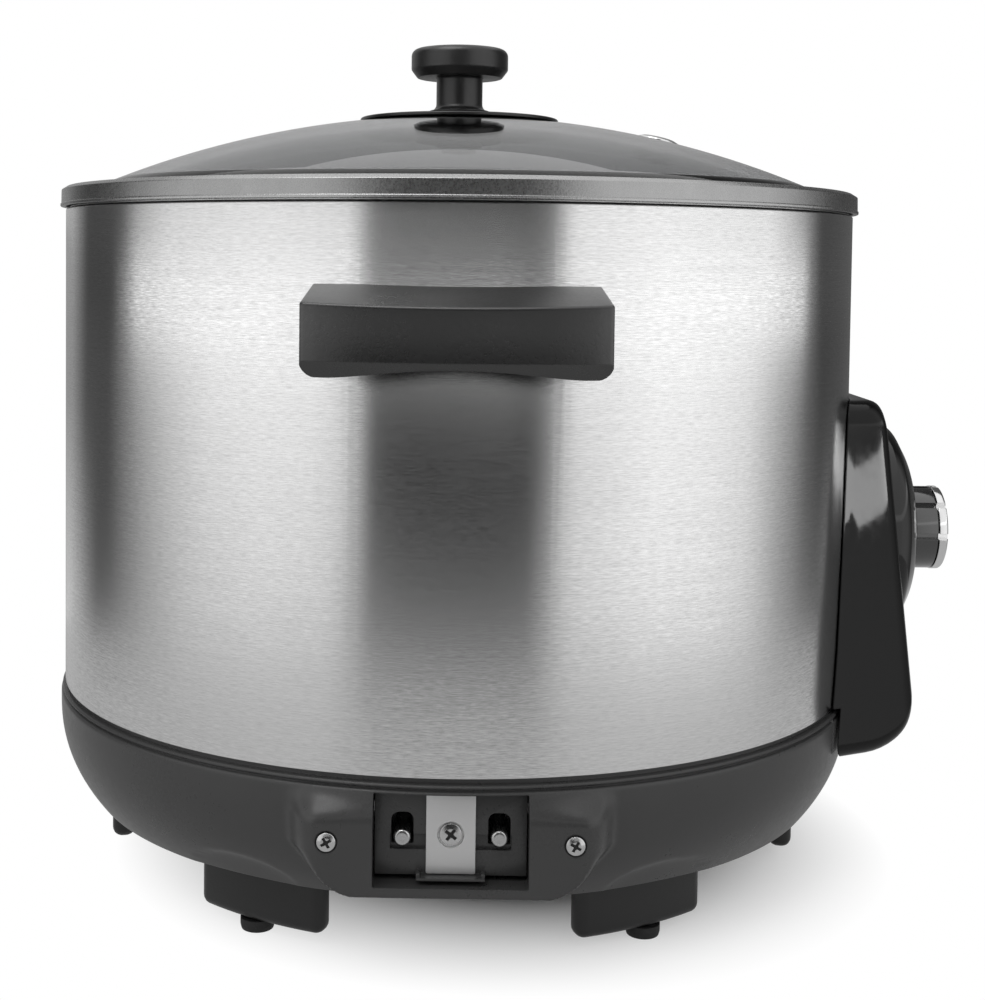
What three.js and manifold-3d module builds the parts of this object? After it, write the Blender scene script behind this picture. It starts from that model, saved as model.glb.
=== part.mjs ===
// A household rice cooker with a lift-out pot and a glass lid.
// Units are millimetres and +Z is up. Heights are measured from the seam between the steel
// wall and the base; the whole group is raised at the end so that the feet stand on Z = 0.
// The control panel faces +X, and the mains inlet faces -Y.
import * as THREE from 'three';
import { mergeVertices } from 'three/addons/utils/BufferGeometryUtils.js';
import Module from 'manifold-3d';

const wasm = await Module();
wasm.setup();

// ---- driving dimensions ----
const FLOOR_TO_SEAM = 63;
const FACETS = 36; // round the large turned pieces
const INNER_FACETS = 24; // round the pieces inside them
const DIAL_FACETS = 24; // round the dial
const LID_KNOB_FACETS = 20;
const CORE_FACETS = 16; // round the spring-loaded sensor
const SMALL_FACETS = 12;
const SCREW_FACETS = 8;
const GAP = 0.3; // between pieces that touch

const WALL_R = 140; // steel wall, outside
const WALL_SHEET = 0.8;
const WALL_TOP = 163.9;

const BASE_R = 141.3;
const SHOULDER_Z = -2; // top of the base, below an open groove
const BOWL = [ // [height, radius], from the rim up to the shoulder
  [-38.6, 129.9],
  [-35.6, 132.3],
  [-32, 134.7],
  [-26, 137.5],
  [-20, 139.5],
  [-11, BASE_R],
  [-3.2, BASE_R],
  [SHOULDER_Z, 140],
];
const PLATE_Z = -36.2; // underside of the bottom plate
const PLATE_SCREW_ANGLES = [60, 180, 300];
const PLATE_SCREW_REACH = 122.8;

const INLET_FACE_Y = -143.6;
const INLET_HALF = 41;
const INLET_LOW_Z = -33.6;
const INLET_CORNER = 13;
const POCKET_HALF = 22.2;
const POCKET_Z = [-30.4, -4.3];
const BLOCK_LOW_Z = -28.9; // the insert stands over a gap in the pocket
const BLOCK_FACE_Y = -136.8;
const BLOCK_BACK_Y = -121;
const PIN_X = 13.9;
const PIN_Z = -17.3;
const PIN_R = 2.45;
const EARTH_SCREW_Z = -16.6;
const INLET_SCREW_X = 35.3;
const INLET_SCREW_Z = -17.4;

const FOOT_ANGLES = [-148.7, -90, -31.3, 31.3, 90, 148.7]; // from -Y, towards +X
const FOOT_R = 117.2; // outer face of a foot
const FOOT_DEPTH = 8;
const FOOT_HALF = 24.2;
const FOOT_LOW_Z = -59;
const PAD_REACH = 111.5; // from the axis to the middle of a pad
const PAD_R = 5.4;

const HANDLE_REACH = 171; // from the axis to the front of a grip
const HANDLE_HALF = 41.9;
const HANDLE_LOW_Z = 115.7;
const HANDLE_SCREW_Z = 127.5;
const HANDLE_SCREW_ANGLE = 12.5;
const FINGERS_HALF = 37; // the hollow under a grip
const FINGERS_TOP_Z = 132.5;

const CONTROL_Z = 51.5; // height of the knob's axis
const PANEL_TOP_Z = 100.8;
const PANEL_LOW_Z = -16.8;
const PANEL_TOP_X = 147.5; // the panel leans out below this point
const PANEL_LEAN = 0.0975; // per millimetre of height
const PANEL_BACK_X = 126.4; // where the lower part meets the base's shoulder block
const BEZEL_FACE_X = 162.6;
const LENS_Z = 7.5; // height of the lamp under the dial
const KNOB_R = 14.9;
const KNOB_END_X = 177.6;
const GRIP_PLACES = 8; // round the knob; the one that the pointer aims at has no groove
const POINTER_PLACE = 2;
const KNOB_START = -40; // degrees: turns the first place up from -Y

const POT_R = 122;
const POT_SHEET = 1.6;
const POT_LOW_Z = 26.8;
const POT_FLANGE_R = 134;
const POT_FLANGE_Z = 166.7;

const LID_R = 141.9;
const LID_LOW_Z = 164.6;
const LID_TOP_Z = 171.5;
const GLASS_R = 128.5;
const GLASS_SHEET = 3.5;
const DOME_R = 320; // radius of curvature of the glass
const DOME_TOP_Z = 199;
const VENT_X = 72.4;
const HANDGRIP_R = 17.6; // knob on the lid

// ---- helpers ----
const ORIGIN = new THREE.Vector2();
const rad = THREE.MathUtils.degToRad;

/** Closed outline through corners [x, y, radius]. A radius turns its corner into an arc. */
function outline(corners, steps = 2) {
  const count = corners.length;
  return corners.flatMap(([x, y, radius], i) => {
    const corner = new THREE.Vector2(x, y);
    if (!radius) return [corner];
    const before = corners[(i + count - 1) % count];
    const after = corners[(i + 1) % count];
    const back = new THREE.Vector2(before[0], before[1]).sub(corner).normalize();
    const ahead = new THREE.Vector2(after[0], after[1]).sub(corner).normalize();
    const half = Math.acos(back.dot(ahead)) / 2;
    const toCentre = back.clone().add(ahead).setLength(radius / Math.sin(half));
    const start = back.multiplyScalar(radius / Math.tan(half)).sub(toCentre);
    const end = ahead.multiplyScalar(radius / Math.tan(half)).sub(toCentre);
    const sweep = Math.atan2(start.cross(end), start.dot(end));
    const centre = toCentre.add(corner);
    const onArc = (k) => start.clone().rotateAround(ORIGIN, (sweep * k) / steps).add(centre);
    return Array.from({ length: steps + 1 }, (_, k) => onArc(k));
  });
}

/** The rectangle from (x0, y0) to (x1, y1), with corners of one radius, for outline(). */
function rectangle(x0, y0, x1, y1, radius = 0) {
  return outline([[x0, y0, radius], [x1, y0, radius], [x1, y1, radius], [x0, y1, radius]]);
}

/** Position-only geometry with merged vertices, no empty triangles and its faces outward. */
function closed(source) {
  const bare = new THREE.BufferGeometry();
  bare.setAttribute('position', source.getAttribute('position'));
  bare.setIndex(source.getIndex());
  const merged = mergeVertices(bare, 1e-4);
  const index = merged.getIndex();
  const triangles = [];
  for (let i = 0; i < index.count; i += 3) {
    const corners = [index.getX(i), index.getX(i + 1), index.getX(i + 2)];
    if (new Set(corners).size === 3) triangles.push(corners);
  }
  const at = (k) => new THREE.Vector3().fromBufferAttribute(merged.getAttribute('position'), k);
  const volume = triangles.reduce((sum, [a, b, c]) => sum + at(a).dot(at(b).cross(at(c))), 0);
  if (volume < 0) triangles.forEach((corners) => corners.reverse());
  merged.setIndex(triangles.flat());
  return merged;
}

/** A manifold-3d solid of a closed geometry. */
function solid(geometry) {
  return new wasm.Manifold(new wasm.Mesh({
    numProp: 3,
    vertProperties: new Float32Array(geometry.getAttribute('position').array),
    triVerts: new Uint32Array(geometry.getIndex().array),
  }));
}

/** The three.js geometry of a manifold-3d solid. */
function geometryOf(body) {
  const mesh = body.getMesh();
  const geometry = new THREE.BufferGeometry();
  geometry.setAttribute('position', new THREE.BufferAttribute(mesh.vertProperties, 3));
  geometry.setIndex(new THREE.BufferAttribute(mesh.triVerts, 1));
  return geometry;
}

const cut = (stock, ...tools) => geometryOf(tools.reduce((s, t) => s.subtract(solid(t)), solid(stock)));
const join = (stock, ...tools) => geometryOf(tools.reduce((s, t) => s.add(solid(t)), solid(stock)));
const common = (stock, ...tools) => geometryOf(tools.reduce((s, t) => s.intersect(solid(t)), solid(stock)));

/** Turns corners [radius, height, fillet] round Z. An outline that meets the axis starts and ends on it. */
function revolve(corners, facets = FACETS, steps = 1) {
  const profile = outline(corners, steps);
  const solidCore = corners[0][0] === 0 && corners.at(-1)[0] === 0;
  if (!solidCore) profile.push(profile[0].clone());
  return closed(new THREE.LatheGeometry(profile, facets).rotateX(Math.PI / 2));
}

/** The same, turned round an axis along +X at the knob's height: corners are [radius, x, fillet]. */
function revolveAlongX(corners, facets, z = CONTROL_Z, steps = 1) {
  return revolve(corners, facets, steps).rotateY(Math.PI / 2).translate(0, 0, z);
}

/** Extrudes an (x, y) outline from one height to another; bevel rounds both ends. */
function prism(points, low, high, bevel = 0, holes = []) {
  const shape = new THREE.Shape(points);
  shape.holes = holes.map((hole) => new THREE.Path(hole));
  const geometry = new THREE.ExtrudeGeometry(shape, {
    depth: high - low - 2 * bevel,
    bevelEnabled: bevel > 0,
    bevelThickness: bevel,
    bevelSize: bevel,
    bevelOffset: -bevel,
    bevelSegments: 1,
  });
  return closed(geometry.translate(0, 0, low + bevel));
}

/** Extrudes an (x, z) outline along Y. */
const prismAlongY = (points, low, high, bevel) => prism(points, -high, -low, bevel).rotateX(Math.PI / 2);

/** Extrudes a (y, z) outline along X. */
function prismAlongX(points, low, high, bevel) {
  const toX = new THREE.Matrix4().set(0, 0, 1, 0, 1, 0, 0, 0, 0, 1, 0, 0, 0, 0, 0, 1);
  return prism(points, low, high, bevel).applyMatrix4(toX);
}

/** Skins a row of convex loops with the same number of points, and closes both ends. */
function loft(loops) {
  const size = loops[0].length;
  const middle = (loop) => loop.reduce((sum, p) => sum.add(p), new THREE.Vector3()).divideScalar(size);
  const points = [...loops.flat(), middle(loops[0]), middle(loops.at(-1))];
  const last = (loops.length - 1) * size;
  const triangles = [];
  for (let i = 0; i < size; i += 1) {
    const next = (i + 1) % size;
    for (let row = 0; row < last; row += size) {
      triangles.push(row + i, row + next, row + size + next, row + i, row + size + next, row + size + i);
    }
    triangles.push(loops.length * size, next, i);
    triangles.push(loops.length * size + 1, last + i, last + next);
  }
  return closed(new THREE.BufferGeometry().setFromPoints(points).setIndex(triangles));
}

function cylinder(r, low, high, facets = FACETS) {
  return revolve([[0, low], [r, low], [r, high], [0, high]], facets);
}

const box = (x0, x1, y0, y1, z0, z1) => prism(rectangle(x0, y0, x1, y1), z0, z1);

function ring(inner, outer, low, high, facets = SMALL_FACETS) {
  return revolve([[inner, low], [outer, low], [outer, high], [inner, high]], facets);
}

// ---- the assembly ----
const cooker = new THREE.Group();

function add(name, geometry, [color, roughness, metalness]) {
  const mesh = new THREE.Mesh(geometry, new THREE.MeshStandardMaterial({ color, roughness, metalness }));
  mesh.name = name;
  cooker.add(mesh);
}

const BRUSHED_STEEL = [0xb9b9b7, 0.35, 1];
const BRIGHT_METAL = [0xd9d9d6, 0.2, 1];
const ALUMINIUM = [0xc4c6c8, 0.4, 1];
const GUNMETAL = [0x55565a, 0.4, 0.8];
const GLOSS_BLACK = [0x141416, 0.12, 0];
const GREY_PLASTIC = [0x3c3c40, 0.3, 0];
const SATIN_BLACK = [0x232325, 0.5, 0];
const RUBBER = [0x1b1b1b, 0.85, 0];
const SMOKED_GLASS = [0x6b6d70, 0.05, 0];
const NON_STICK = [0x3a3b3e, 0.55, 0.3];
const AMBER = [0xd98324, 0.2, 0];

// ---- base ----

/** Radius of the bowl at a height, between the rows of BOWL. */
function bowlRadius(z) {
  const above = Math.max(1, BOWL.findIndex(([rowZ]) => rowZ >= z));
  const [lowZ, lowR] = BOWL[above - 1];
  const [highZ, highR] = BOWL[above];
  return THREE.MathUtils.mapLinear(z, lowZ, highZ, lowR, highR);
}

/**
 * How much of the flat inlet boss there is at (x, z): 1 on its face, 0 out on the bowl.
 * Its lower edge is short, its sides run out into the bowl over several millimetres, and its
 * top leans back to the shoulder.
 */
function bossShare(x, z) {
  const across = Math.max(0, Math.abs(x) - (INLET_HALF - INLET_CORNER));
  const down = Math.max(0, INLET_LOW_Z + INLET_CORNER - z);
  const outside = Math.hypot(across, down) - INLET_CORNER;
  const sideways = across / (across + down + 1e-6);
  const runOut = THREE.MathUtils.lerp(1.2, 9, sideways ** 2);
  const around = 1 - THREE.MathUtils.smoothstep(outside, -2.5 * sideways - 0.5, runOut);
  return around * (1 - THREE.MathUtils.smoothstep(z, -13, SHOULDER_Z - 1));
}

/** The base's outer skin as a solid: a bowl that swells out to the flat face of the inlet. */
function baseBowl() {
  const overBoss = [0, 8, 14, 15.4, 16.8, 18.4, 20.2, 22.5];
  const besideBoss = Array.from({ length: 12 }, (_, i) => 30 + i * 12.5);
  const side = [...overBoss, ...besideBoss];
  const angles = [...side, 180, ...side.slice(1).reverse().map((angle) => -angle)];
  const rows = [-38.6, -35.8, -34.6, -33.8, -33, -29.5, -25, -19, -11, -3.2, SHOULDER_Z];
  return loft(rows.map((z) => angles.map((angle) => {
    const toFace = Math.abs(angle) < 40 ? -INLET_FACE_Y / Math.cos(rad(angle)) : 0;
    const share = toFace ? bossShare(toFace * Math.sin(rad(angle)), z) : 0;
    const r = THREE.MathUtils.lerp(bowlRadius(z), toFace, share);
    return new THREE.Vector3(r * Math.sin(rad(angle)), -r * Math.cos(rad(angle)), z);
  })));
}

/** The space inside the base, with a ledge near the bottom for the bottom plate. */
function baseHollow() {
  return revolve([
    [0, -45],
    [126.2, -45],
    [129.6, -34.4],
    [119.5, -34.4],
    [119.5, -32.2],
    [129.4, -32.2],
    [136.5, -14],
    [136.5, 10],
    [0, 10],
  ], INNER_FACETS);
}

/** The block under the control housing, which its lower edge butts against. */
function controlShoulder() {
  const face = rectangle(-64.5, PANEL_LOW_Z + 1.3, 64.5, SHOULDER_Z - 0.3, 3);
  return prismAlongX(face, 112, PANEL_BACK_X - GAP, 1);
}

/** A shallow eyelid-shaped dent in the bowl, over a foot. */
function scallop(angle) {
  return closed(new THREE.SphereGeometry(1, 8, 5))
    .scale(20, 5, 6.5)
    .translate(0, -134, -39.5)
    .rotateZ(rad(angle));
}

function baseHousing() {
  const collar = ring(136.5, WALL_R - WALL_SHEET - GAP, -6, 6, FACETS);
  const pocket = prismAlongY(rectangle(-POCKET_HALF, POCKET_Z[0], POCKET_HALF, POCKET_Z[1], 0.6), -160, -100);
  const screwHoles = [-1, 1].map((side) => inletScrewShape(GAP, 9).translate(side * INLET_SCREW_X, 0, 0));
  const plateHoles = PLATE_SCREW_ANGLES.map((angle) => plateScrewHole(angle));
  const shell = cut(join(baseBowl(), controlShoulder()), baseHollow());
  return cut(join(shell, collar), pocket, ...FOOT_ANGLES.map(scallop), ...screwHoles, ...plateHoles);
}

/** A pan-head screw along Y at the inlet's height; spare makes it the hole for one. */
function inletScrewShape(spare, length) {
  return revolve([
    [0, -length],
    [1.5 + spare, -length],
    [1.5 + spare, -0.4 - spare],
    [2.7 + spare, -0.4 - spare],
    [2.7 + spare, 0.5],
    [1.2, 1.1],
    [0, 1.1],
  ], SCREW_FACETS).rotateX(Math.PI / 2).translate(0, INLET_FACE_Y, INLET_SCREW_Z);
}

function plateScrewHole(angle) {
  return cylinder(2.2, -45, -25, SCREW_FACETS).translate(0, -PLATE_SCREW_REACH, 0).rotateZ(rad(angle));
}

/** The steel sheet that closes the base, with a ring of cooling slots. */
function bottomPlate() {
  const slots = 8;
  const slot = outline([[-2.5, 34, 2], [2.5, 34, 2], [2.5, 66, 2], [-2.5, 66, 2]], 1);
  const holes = Array.from({ length: slots }, (_, i) =>
    slot.map((p) => p.clone().rotateAround(ORIGIN, (i * 2 * Math.PI) / slots)));
  const sheet = prism(circle(128, 0, 0, INNER_FACETS), PLATE_Z, PLATE_Z + 1.4, 0, holes);
  return cut(sheet, ...PLATE_SCREW_ANGLES.map((angle) => plateScrewHole(angle)));
}

function plateScrew(angle) {
  return revolve([
    [0, -38.4],
    [3.8, -37.8],
    [3.8, PLATE_Z - GAP],
    [1.8, PLATE_Z - GAP],
    [1.8, -30],
    [0, -30],
  ], SCREW_FACETS).translate(0, -PLATE_SCREW_REACH, 0).rotateZ(rad(angle));
}

/** A foot: a bar that follows a circle, with a round boss behind it for the pad. */
function footBlock(angle) {
  const span = Math.asin(FOOT_HALF / FOOT_R);
  const turns = [-1, 0, 1].map((k) => k * span);
  const outer = turns.map((turn) => [FOOT_R * Math.sin(turn), -FOOT_R * Math.cos(turn)]);
  const inner = turns.map((turn) => {
    const r = FOOT_R - FOOT_DEPTH;
    return [r * Math.sin(turn), -r * Math.cos(turn)];
  }).reverse();
  const rounded = (row) => row.map(([x, y], i) => [x, y, i === 0 || i === row.length - 1 ? 2.8 : 0]);
  const bar = prism(outline([...rounded(outer), ...rounded(inner)], 1), FOOT_LOW_Z, PLATE_Z - GAP, 2);
  const [x, y] = padPlace(angle);
  return join(bar, cylinder(8, FOOT_LOW_Z + 0.6, PLATE_Z - GAP, SCREW_FACETS).translate(x, y + 2.5, 0));
}

/** Where a pad sits on its foot: each is moved from the middle towards the control panel or away. */
function padPlace(angle) {
  return [3 * Math.sign(Math.round(Math.sin(2 * rad(angle)))), -PAD_REACH];
}

function padStemHole(angle) {
  const [x, y] = padPlace(angle);
  return cylinder(2.8, FOOT_LOW_Z - 5, FOOT_LOW_Z + 6.3, SCREW_FACETS).translate(x, y, 0);
}

function footPad(angle) {
  const [x, y] = padPlace(angle);
  return revolve([
    [0, -FLOOR_TO_SEAM],
    [PAD_R, -FLOOR_TO_SEAM, 0.8],
    [PAD_R, FOOT_LOW_Z - GAP],
    [2.5, FOOT_LOW_Z - GAP],
    [2.5, FOOT_LOW_Z + 6],
    [0, FOOT_LOW_Z + 6],
  ], SCREW_FACETS).translate(x, y, 0);
}

add('base_housing', baseHousing(), GREY_PLASTIC);
add('bottom_plate', bottomPlate(), BRUSHED_STEEL);
PLATE_SCREW_ANGLES.forEach((angle, i) => add(`plate_screw_${i + 1}`, plateScrew(angle), BRIGHT_METAL));
FOOT_ANGLES.forEach((angle, i) => {
  add(`foot_${i + 1}`, cut(footBlock(angle), padStemHole(angle)).rotateZ(rad(angle)), SATIN_BLACK);
  add(`foot_pad_${i + 1}`, footPad(angle).rotateZ(rad(angle)), RUBBER);
});

// ---- mains inlet ----

/** The window round a pin, with a rounded top. */
function windowOutline(x) {
  return outline([
    [x - 3.2, PIN_Z - 2.9, 0.5],
    [x + 3.2, PIN_Z - 2.9, 0.5],
    [x + 3.2, PIN_Z + 6.7, 2.2],
    [x - 3.2, PIN_Z + 6.7, 2.2],
  ]);
}

/** The moulded insert: each pin stands in a window, over a shallow slot. */
function inletBlock() {
  const edge = POCKET_HALF - GAP;
  const face = rectangle(-edge, BLOCK_LOW_Z, edge, POCKET_Z[1] - GAP, 0.5);
  const body = prismAlongY(face, BLOCK_FACE_Y, BLOCK_BACK_Y);
  const windows = [-1, 1].flatMap((side) => {
    const outer = side * 17.4;
    return [
      prismAlongY(windowOutline(side * PIN_X), -140, -124),
      box(Math.min(outer, side * 6), Math.max(outer, side * 6), -140, -135.2, -21.4, -17),
      prismAlongY(circle(PIN_R + GAP, side * PIN_X, PIN_Z), -140, -110),
    ];
  });
  const screwHole = prismAlongY(circle(1.9, 0, EARTH_SCREW_Z), -140, -127);
  const tray = box(-9.8, 9.8, -141.5, BLOCK_FACE_Y + 1, BLOCK_LOW_Z, BLOCK_LOW_Z + 0.7);
  return join(cut(body, ...windows, screwHole), tray);
}

function circle(r, x, y, facets = SMALL_FACETS) {
  return new THREE.EllipseCurve(x, y, r, r).getPoints(facets).slice(0, -1);
}

/** A round contact pin along Y with a slightly domed tip. */
function contactPin(side) {
  const tipY = -139.6;
  return revolve([
    [0, 0],
    [PIN_R, 0],
    [PIN_R, 21.5, 0.9],
    [0, 21.5],
  ], SMALL_FACETS).rotateX(Math.PI / 2).translate(side * PIN_X, tipY + 21.5, PIN_Z);
}

/** The earth contact: a flat strip over the front of the insert, countersunk for its screw. */
function earthPlate() {
  const frontY = BLOCK_FACE_Y - 1.5;
  const strip = prismAlongY(rectangle(-7.1, -28, 7.1, POCKET_Z[1] - GAP, 0.5), frontY, BLOCK_FACE_Y - GAP);
  const sink = prismAlongY(circle(3.6, 0, EARTH_SCREW_Z), frontY - 1, frontY + 0.9);
  return cut(strip, sink, prismAlongY(circle(1.9, 0, EARTH_SCREW_Z), -150, -130));
}

function earthScrew() {
  const frontY = BLOCK_FACE_Y - 1.5;
  return revolve([
    [0, -9],
    [1.6, -9],
    [1.6, -0.6],
    [3.2, -0.6],
    [3.2, 0],
    [0, 0.2],
  ], SMALL_FACETS).rotateX(Math.PI / 2).translate(0, frontY, EARTH_SCREW_Z);
}

add('inlet_block', inletBlock(), GLOSS_BLACK);
add('live_pin', contactPin(-1), BRIGHT_METAL);
add('neutral_pin', contactPin(1), BRIGHT_METAL);
add('earth_plate', earthPlate(), BRUSHED_STEEL);
add('earth_screw', earthScrew(), BRIGHT_METAL);
add('inlet_screw_left', inletScrewShape(0, 8).translate(-INLET_SCREW_X, 0, 0), BRIGHT_METAL);
add('inlet_screw_right', inletScrewShape(0, 8).translate(INLET_SCREW_X, 0, 0), BRIGHT_METAL);

// ---- steel wall and what stands inside it ----

/** Places a shape made along -Y, at x = 0, where a handle's screw goes. */
function atHandleScrew(geometry, side, turn) {
  return geometry.translate(0, 0, HANDLE_SCREW_Z).rotateZ(rad(side * HANDLE_SCREW_ANGLE + turn));
}

const radialRod = (r, near, far, facets) => cylinder(r, near, far, facets).rotateX(Math.PI / 2);
const SCREW_SIDES = [-1, 1];
const HANDLE_TURNS = [0, 180];

/** The steel wall, with a lip at the top that is turned in under the liner's flange. */
function bodyWrap() {
  const sheet = revolve([
    [WALL_R - WALL_SHEET, 0],
    [WALL_R, 0],
    [WALL_R, WALL_TOP],
    [135, WALL_TOP],
    [135, WALL_TOP - WALL_SHEET],
    [WALL_R - WALL_SHEET, WALL_TOP - WALL_SHEET],
  ]);
  const holes = HANDLE_TURNS.flatMap((turn) =>
    SCREW_SIDES.map((side) => atHandleScrew(radialRod(2.3, 130, 150, SCREW_FACETS), side, turn)));
  return cut(sheet, ...holes);
}

/** A deep cup with a flange that covers the top of the wall, open in the middle of its floor. */
function innerLiner() {
  return revolve([
    [24, 2],
    [129.6, 2, 9],
    [129.6, WALL_TOP + GAP],
    [138.6, WALL_TOP + GAP],
    [138.6, WALL_TOP + 1.1],
    [128.8, WALL_TOP + 1.1, 1],
    [128.8, 2.8, 8.2],
    [24, 2.8],
  ], INNER_FACETS);
}

/** Cast plate with the heating tube's ridge round its underside. */
function heatingPlate() {
  return revolve([
    [18, 17],
    [52, 17],
    [54, 12],
    [70, 12],
    [72, 17],
    [90, 19.5],
    [90, POT_LOW_Z - 0.4, 1.5],
    [18, POT_LOW_Z - 0.4],
  ], INNER_FACETS);
}

/** A post that holds the heating plate up off the liner's floor. */
function platePost(angle) {
  return cylinder(4, 3.1, 12 - GAP, SCREW_FACETS).translate(0, -62, 0).rotateZ(rad(angle));
}

/** The spring-loaded cap that feels the bottom of the pot. */
function sensorCap() {
  return revolve([
    [0, POT_LOW_Z - 0.4],
    [15.4, POT_LOW_Z - 0.4, 1],
    [15.4, 12],
    [13.6, 12],
    [13.6, 24.6],
    [0, 24.6],
  ], CORE_FACETS);
}

function sensorBracket() {
  return revolve([
    [0, -7],
    [17.2, -7],
    [17.2, 0.6],
    [30, 0.6],
    [30, 1.6],
    [17.2, 1.6],
    [17.2, 10],
    [16.2, 10],
    [16.2, -6],
    [0, -6],
  ], CORE_FACETS);
}

class Helix extends THREE.Curve {
  constructor(radius, low, high, turns) {
    super();
    Object.assign(this, { radius, low, high, turns });
  }

  getPoint(t, target = new THREE.Vector3()) {
    const angle = t * this.turns * 2 * Math.PI;
    const z = THREE.MathUtils.lerp(this.low, this.high, t);
    return target.set(this.radius * Math.cos(angle), this.radius * Math.sin(angle), z);
  }
}

function sensorSpring() {
  const wireR = 0.9;
  const turns = 4;
  const path = new Helix(11, -4.8, 23.3, turns);
  const section = new THREE.Shape(circle(wireR, 0, 0, 5));
  const wire = { steps: 8 * turns, extrudePath: path, bevelEnabled: false };
  return closed(new THREE.ExtrudeGeometry(section, wire));
}

const FUSE_Y = 36;
const FUSE_Z = 14.5;

const thermalFuse = () => prismAlongX(circle(2.2, FUSE_Y, FUSE_Z, SCREW_FACETS), -8, 8, 0.6);

/** A strap that holds the fuse up against the heating plate. */
function fuseClip() {
  const strap = outline([
    [FUSE_Y - 8, 16.7],
    [FUSE_Y - 8, 15.7],
    [FUSE_Y - 3.6, 15.7],
    [FUSE_Y - 3.6, FUSE_Z - 3.6, 3.5],
    [FUSE_Y + 3.6, FUSE_Z - 3.6, 3.5],
    [FUSE_Y + 3.6, 15.7],
    [FUSE_Y + 8, 15.7],
    [FUSE_Y + 8, 16.7],
    [FUSE_Y + 2.6, 16.7],
    [FUSE_Y + 2.6, FUSE_Z - 2.6, 2.5],
    [FUSE_Y - 2.6, FUSE_Z - 2.6, 2.5],
    [FUSE_Y - 2.6, 16.7],
  ]);
  return prismAlongX(strap, -3, 3);
}

add('body_wrap', bodyWrap(), BRUSHED_STEEL);
add('inner_liner', innerLiner(), ALUMINIUM);
add('heating_plate', heatingPlate(), ALUMINIUM);
[0, 120, 240].forEach((angle, i) => add(`plate_post_${i + 1}`, platePost(angle), BRIGHT_METAL));
add('sensor_cap', sensorCap(), ALUMINIUM);
add('sensor_spring', sensorSpring(), BRIGHT_METAL);
add('sensor_bracket', sensorBracket(), BRUSHED_STEEL);
add('thermal_fuse', thermalFuse(), BRIGHT_METAL);
add('fuse_clip', fuseClip(), BRUSHED_STEEL);

// ---- side handles ----

/** A ledge to lift by: its front and its back follow the wall, and it is open below. */
function handle() {
  const front = [-1, -0.5, 0, 0.5, 1].map((k) => {
    const x = k * HANDLE_HALF;
    return [x, -Math.sqrt(HANDLE_REACH ** 2 - x ** 2), Math.abs(k) === 1 ? 1.4 : 0];
  });
  const back = -130;
  const plan = outline([...front, [HANDLE_HALF - 0.9, back], [0.9 - HANDLE_HALF, back]], 1);
  const side = outline([
    [-HANDLE_REACH, 110],
    [-HANDLE_REACH, 135, 1.2],
    [back, 141.6],
    [back, 110],
  ]);
  const face = outline([
    [-HANDLE_HALF, 150],
    [-HANDLE_HALF, HANDLE_LOW_Z + 5, 1],
    [4.4 - HANDLE_HALF, HANDLE_LOW_Z, 1],
    [-18, HANDLE_LOW_Z + 2.1],
    [0, HANDLE_LOW_Z + 2.7],
    [18, HANDLE_LOW_Z + 2.1],
    [HANDLE_HALF - 4.4, HANDLE_LOW_Z, 1],
    [HANDLE_HALF, HANDLE_LOW_Z + 5, 1],
    [HANDLE_HALF, 150],
  ], 1);
  const lowEdge = revolve([
    [166, 100],
    [190, 100],
    [190, HANDLE_LOW_Z + 4.7],
    [HANDLE_REACH, HANDLE_LOW_Z + 4.7],
    [166.8, HANDLE_LOW_Z - 0.7],
  ], INNER_FACETS);
  const block = common(prism(plan, 110, 145), prismAlongX(side, -50, 50), prismAlongY(face, -180, -120));
  const palm = cut(cylinder(HANDLE_REACH - 4.4, 100, FINGERS_TOP_Z), cylinder(WALL_R + 3.8, 90, 150));
  const fingers = common(palm, box(-FINGERS_HALF, FINGERS_HALF, -180, -100, 90, 150));
  const bosses = SCREW_SIDES.map((s) => atHandleScrew(radialRod(4.2, WALL_R + 2.8, 149, SMALL_FACETS), s, 0));
  const holes = SCREW_SIDES.map((s) => atHandleScrew(radialRod(2.3, 130, 147.8, SCREW_FACETS), s, 0));
  const shell = join(cut(block, lowEdge, fingers), ...bosses);
  return cut(shell, cylinder(WALL_R + GAP + 0.05, 90, 150), ...holes);
}

/** A pan-head screw from inside the wall, along -Y. */
function handleScrew() {
  return revolve([
    [0, 136.2],
    [3.8, 136.8],
    [3.8, 138.6],
    [1.9, 138.6],
    [1.9, 147.3],
    [0, 147.3],
  ], SCREW_FACETS).rotateX(Math.PI / 2);
}

const HANDLE_NAMES = ['near', 'far'];
HANDLE_TURNS.forEach((turn, h) => {
  add(`handle_${HANDLE_NAMES[h]}`, handle().rotateZ(rad(turn)), SATIN_BLACK);
  SCREW_SIDES.forEach((side, s) => {
    add(`handle_screw_${2 * h + s + 1}`, atHandleScrew(handleScrew(), side, turn), BRIGHT_METAL);
  });
});

// ---- control panel ----

/** One loop round the housing: depth is measured back from the leaning front. */
function housingLoop({ depth, top, bottom, halfTop, halfBottom }) {
  const loop = outline([
    [-halfBottom, bottom, 5],
    [halfBottom, bottom, 5],
    [halfTop, top, 9],
    [-halfTop, top, 9],
  ], 2);
  const frontX = (z) => PANEL_TOP_X + (PANEL_TOP_Z - z) * PANEL_LEAN;
  return loop.map((p) => new THREE.Vector3(depth === null ? 112 : frontX(p.y) - depth, p.x, p.y));
}

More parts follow.
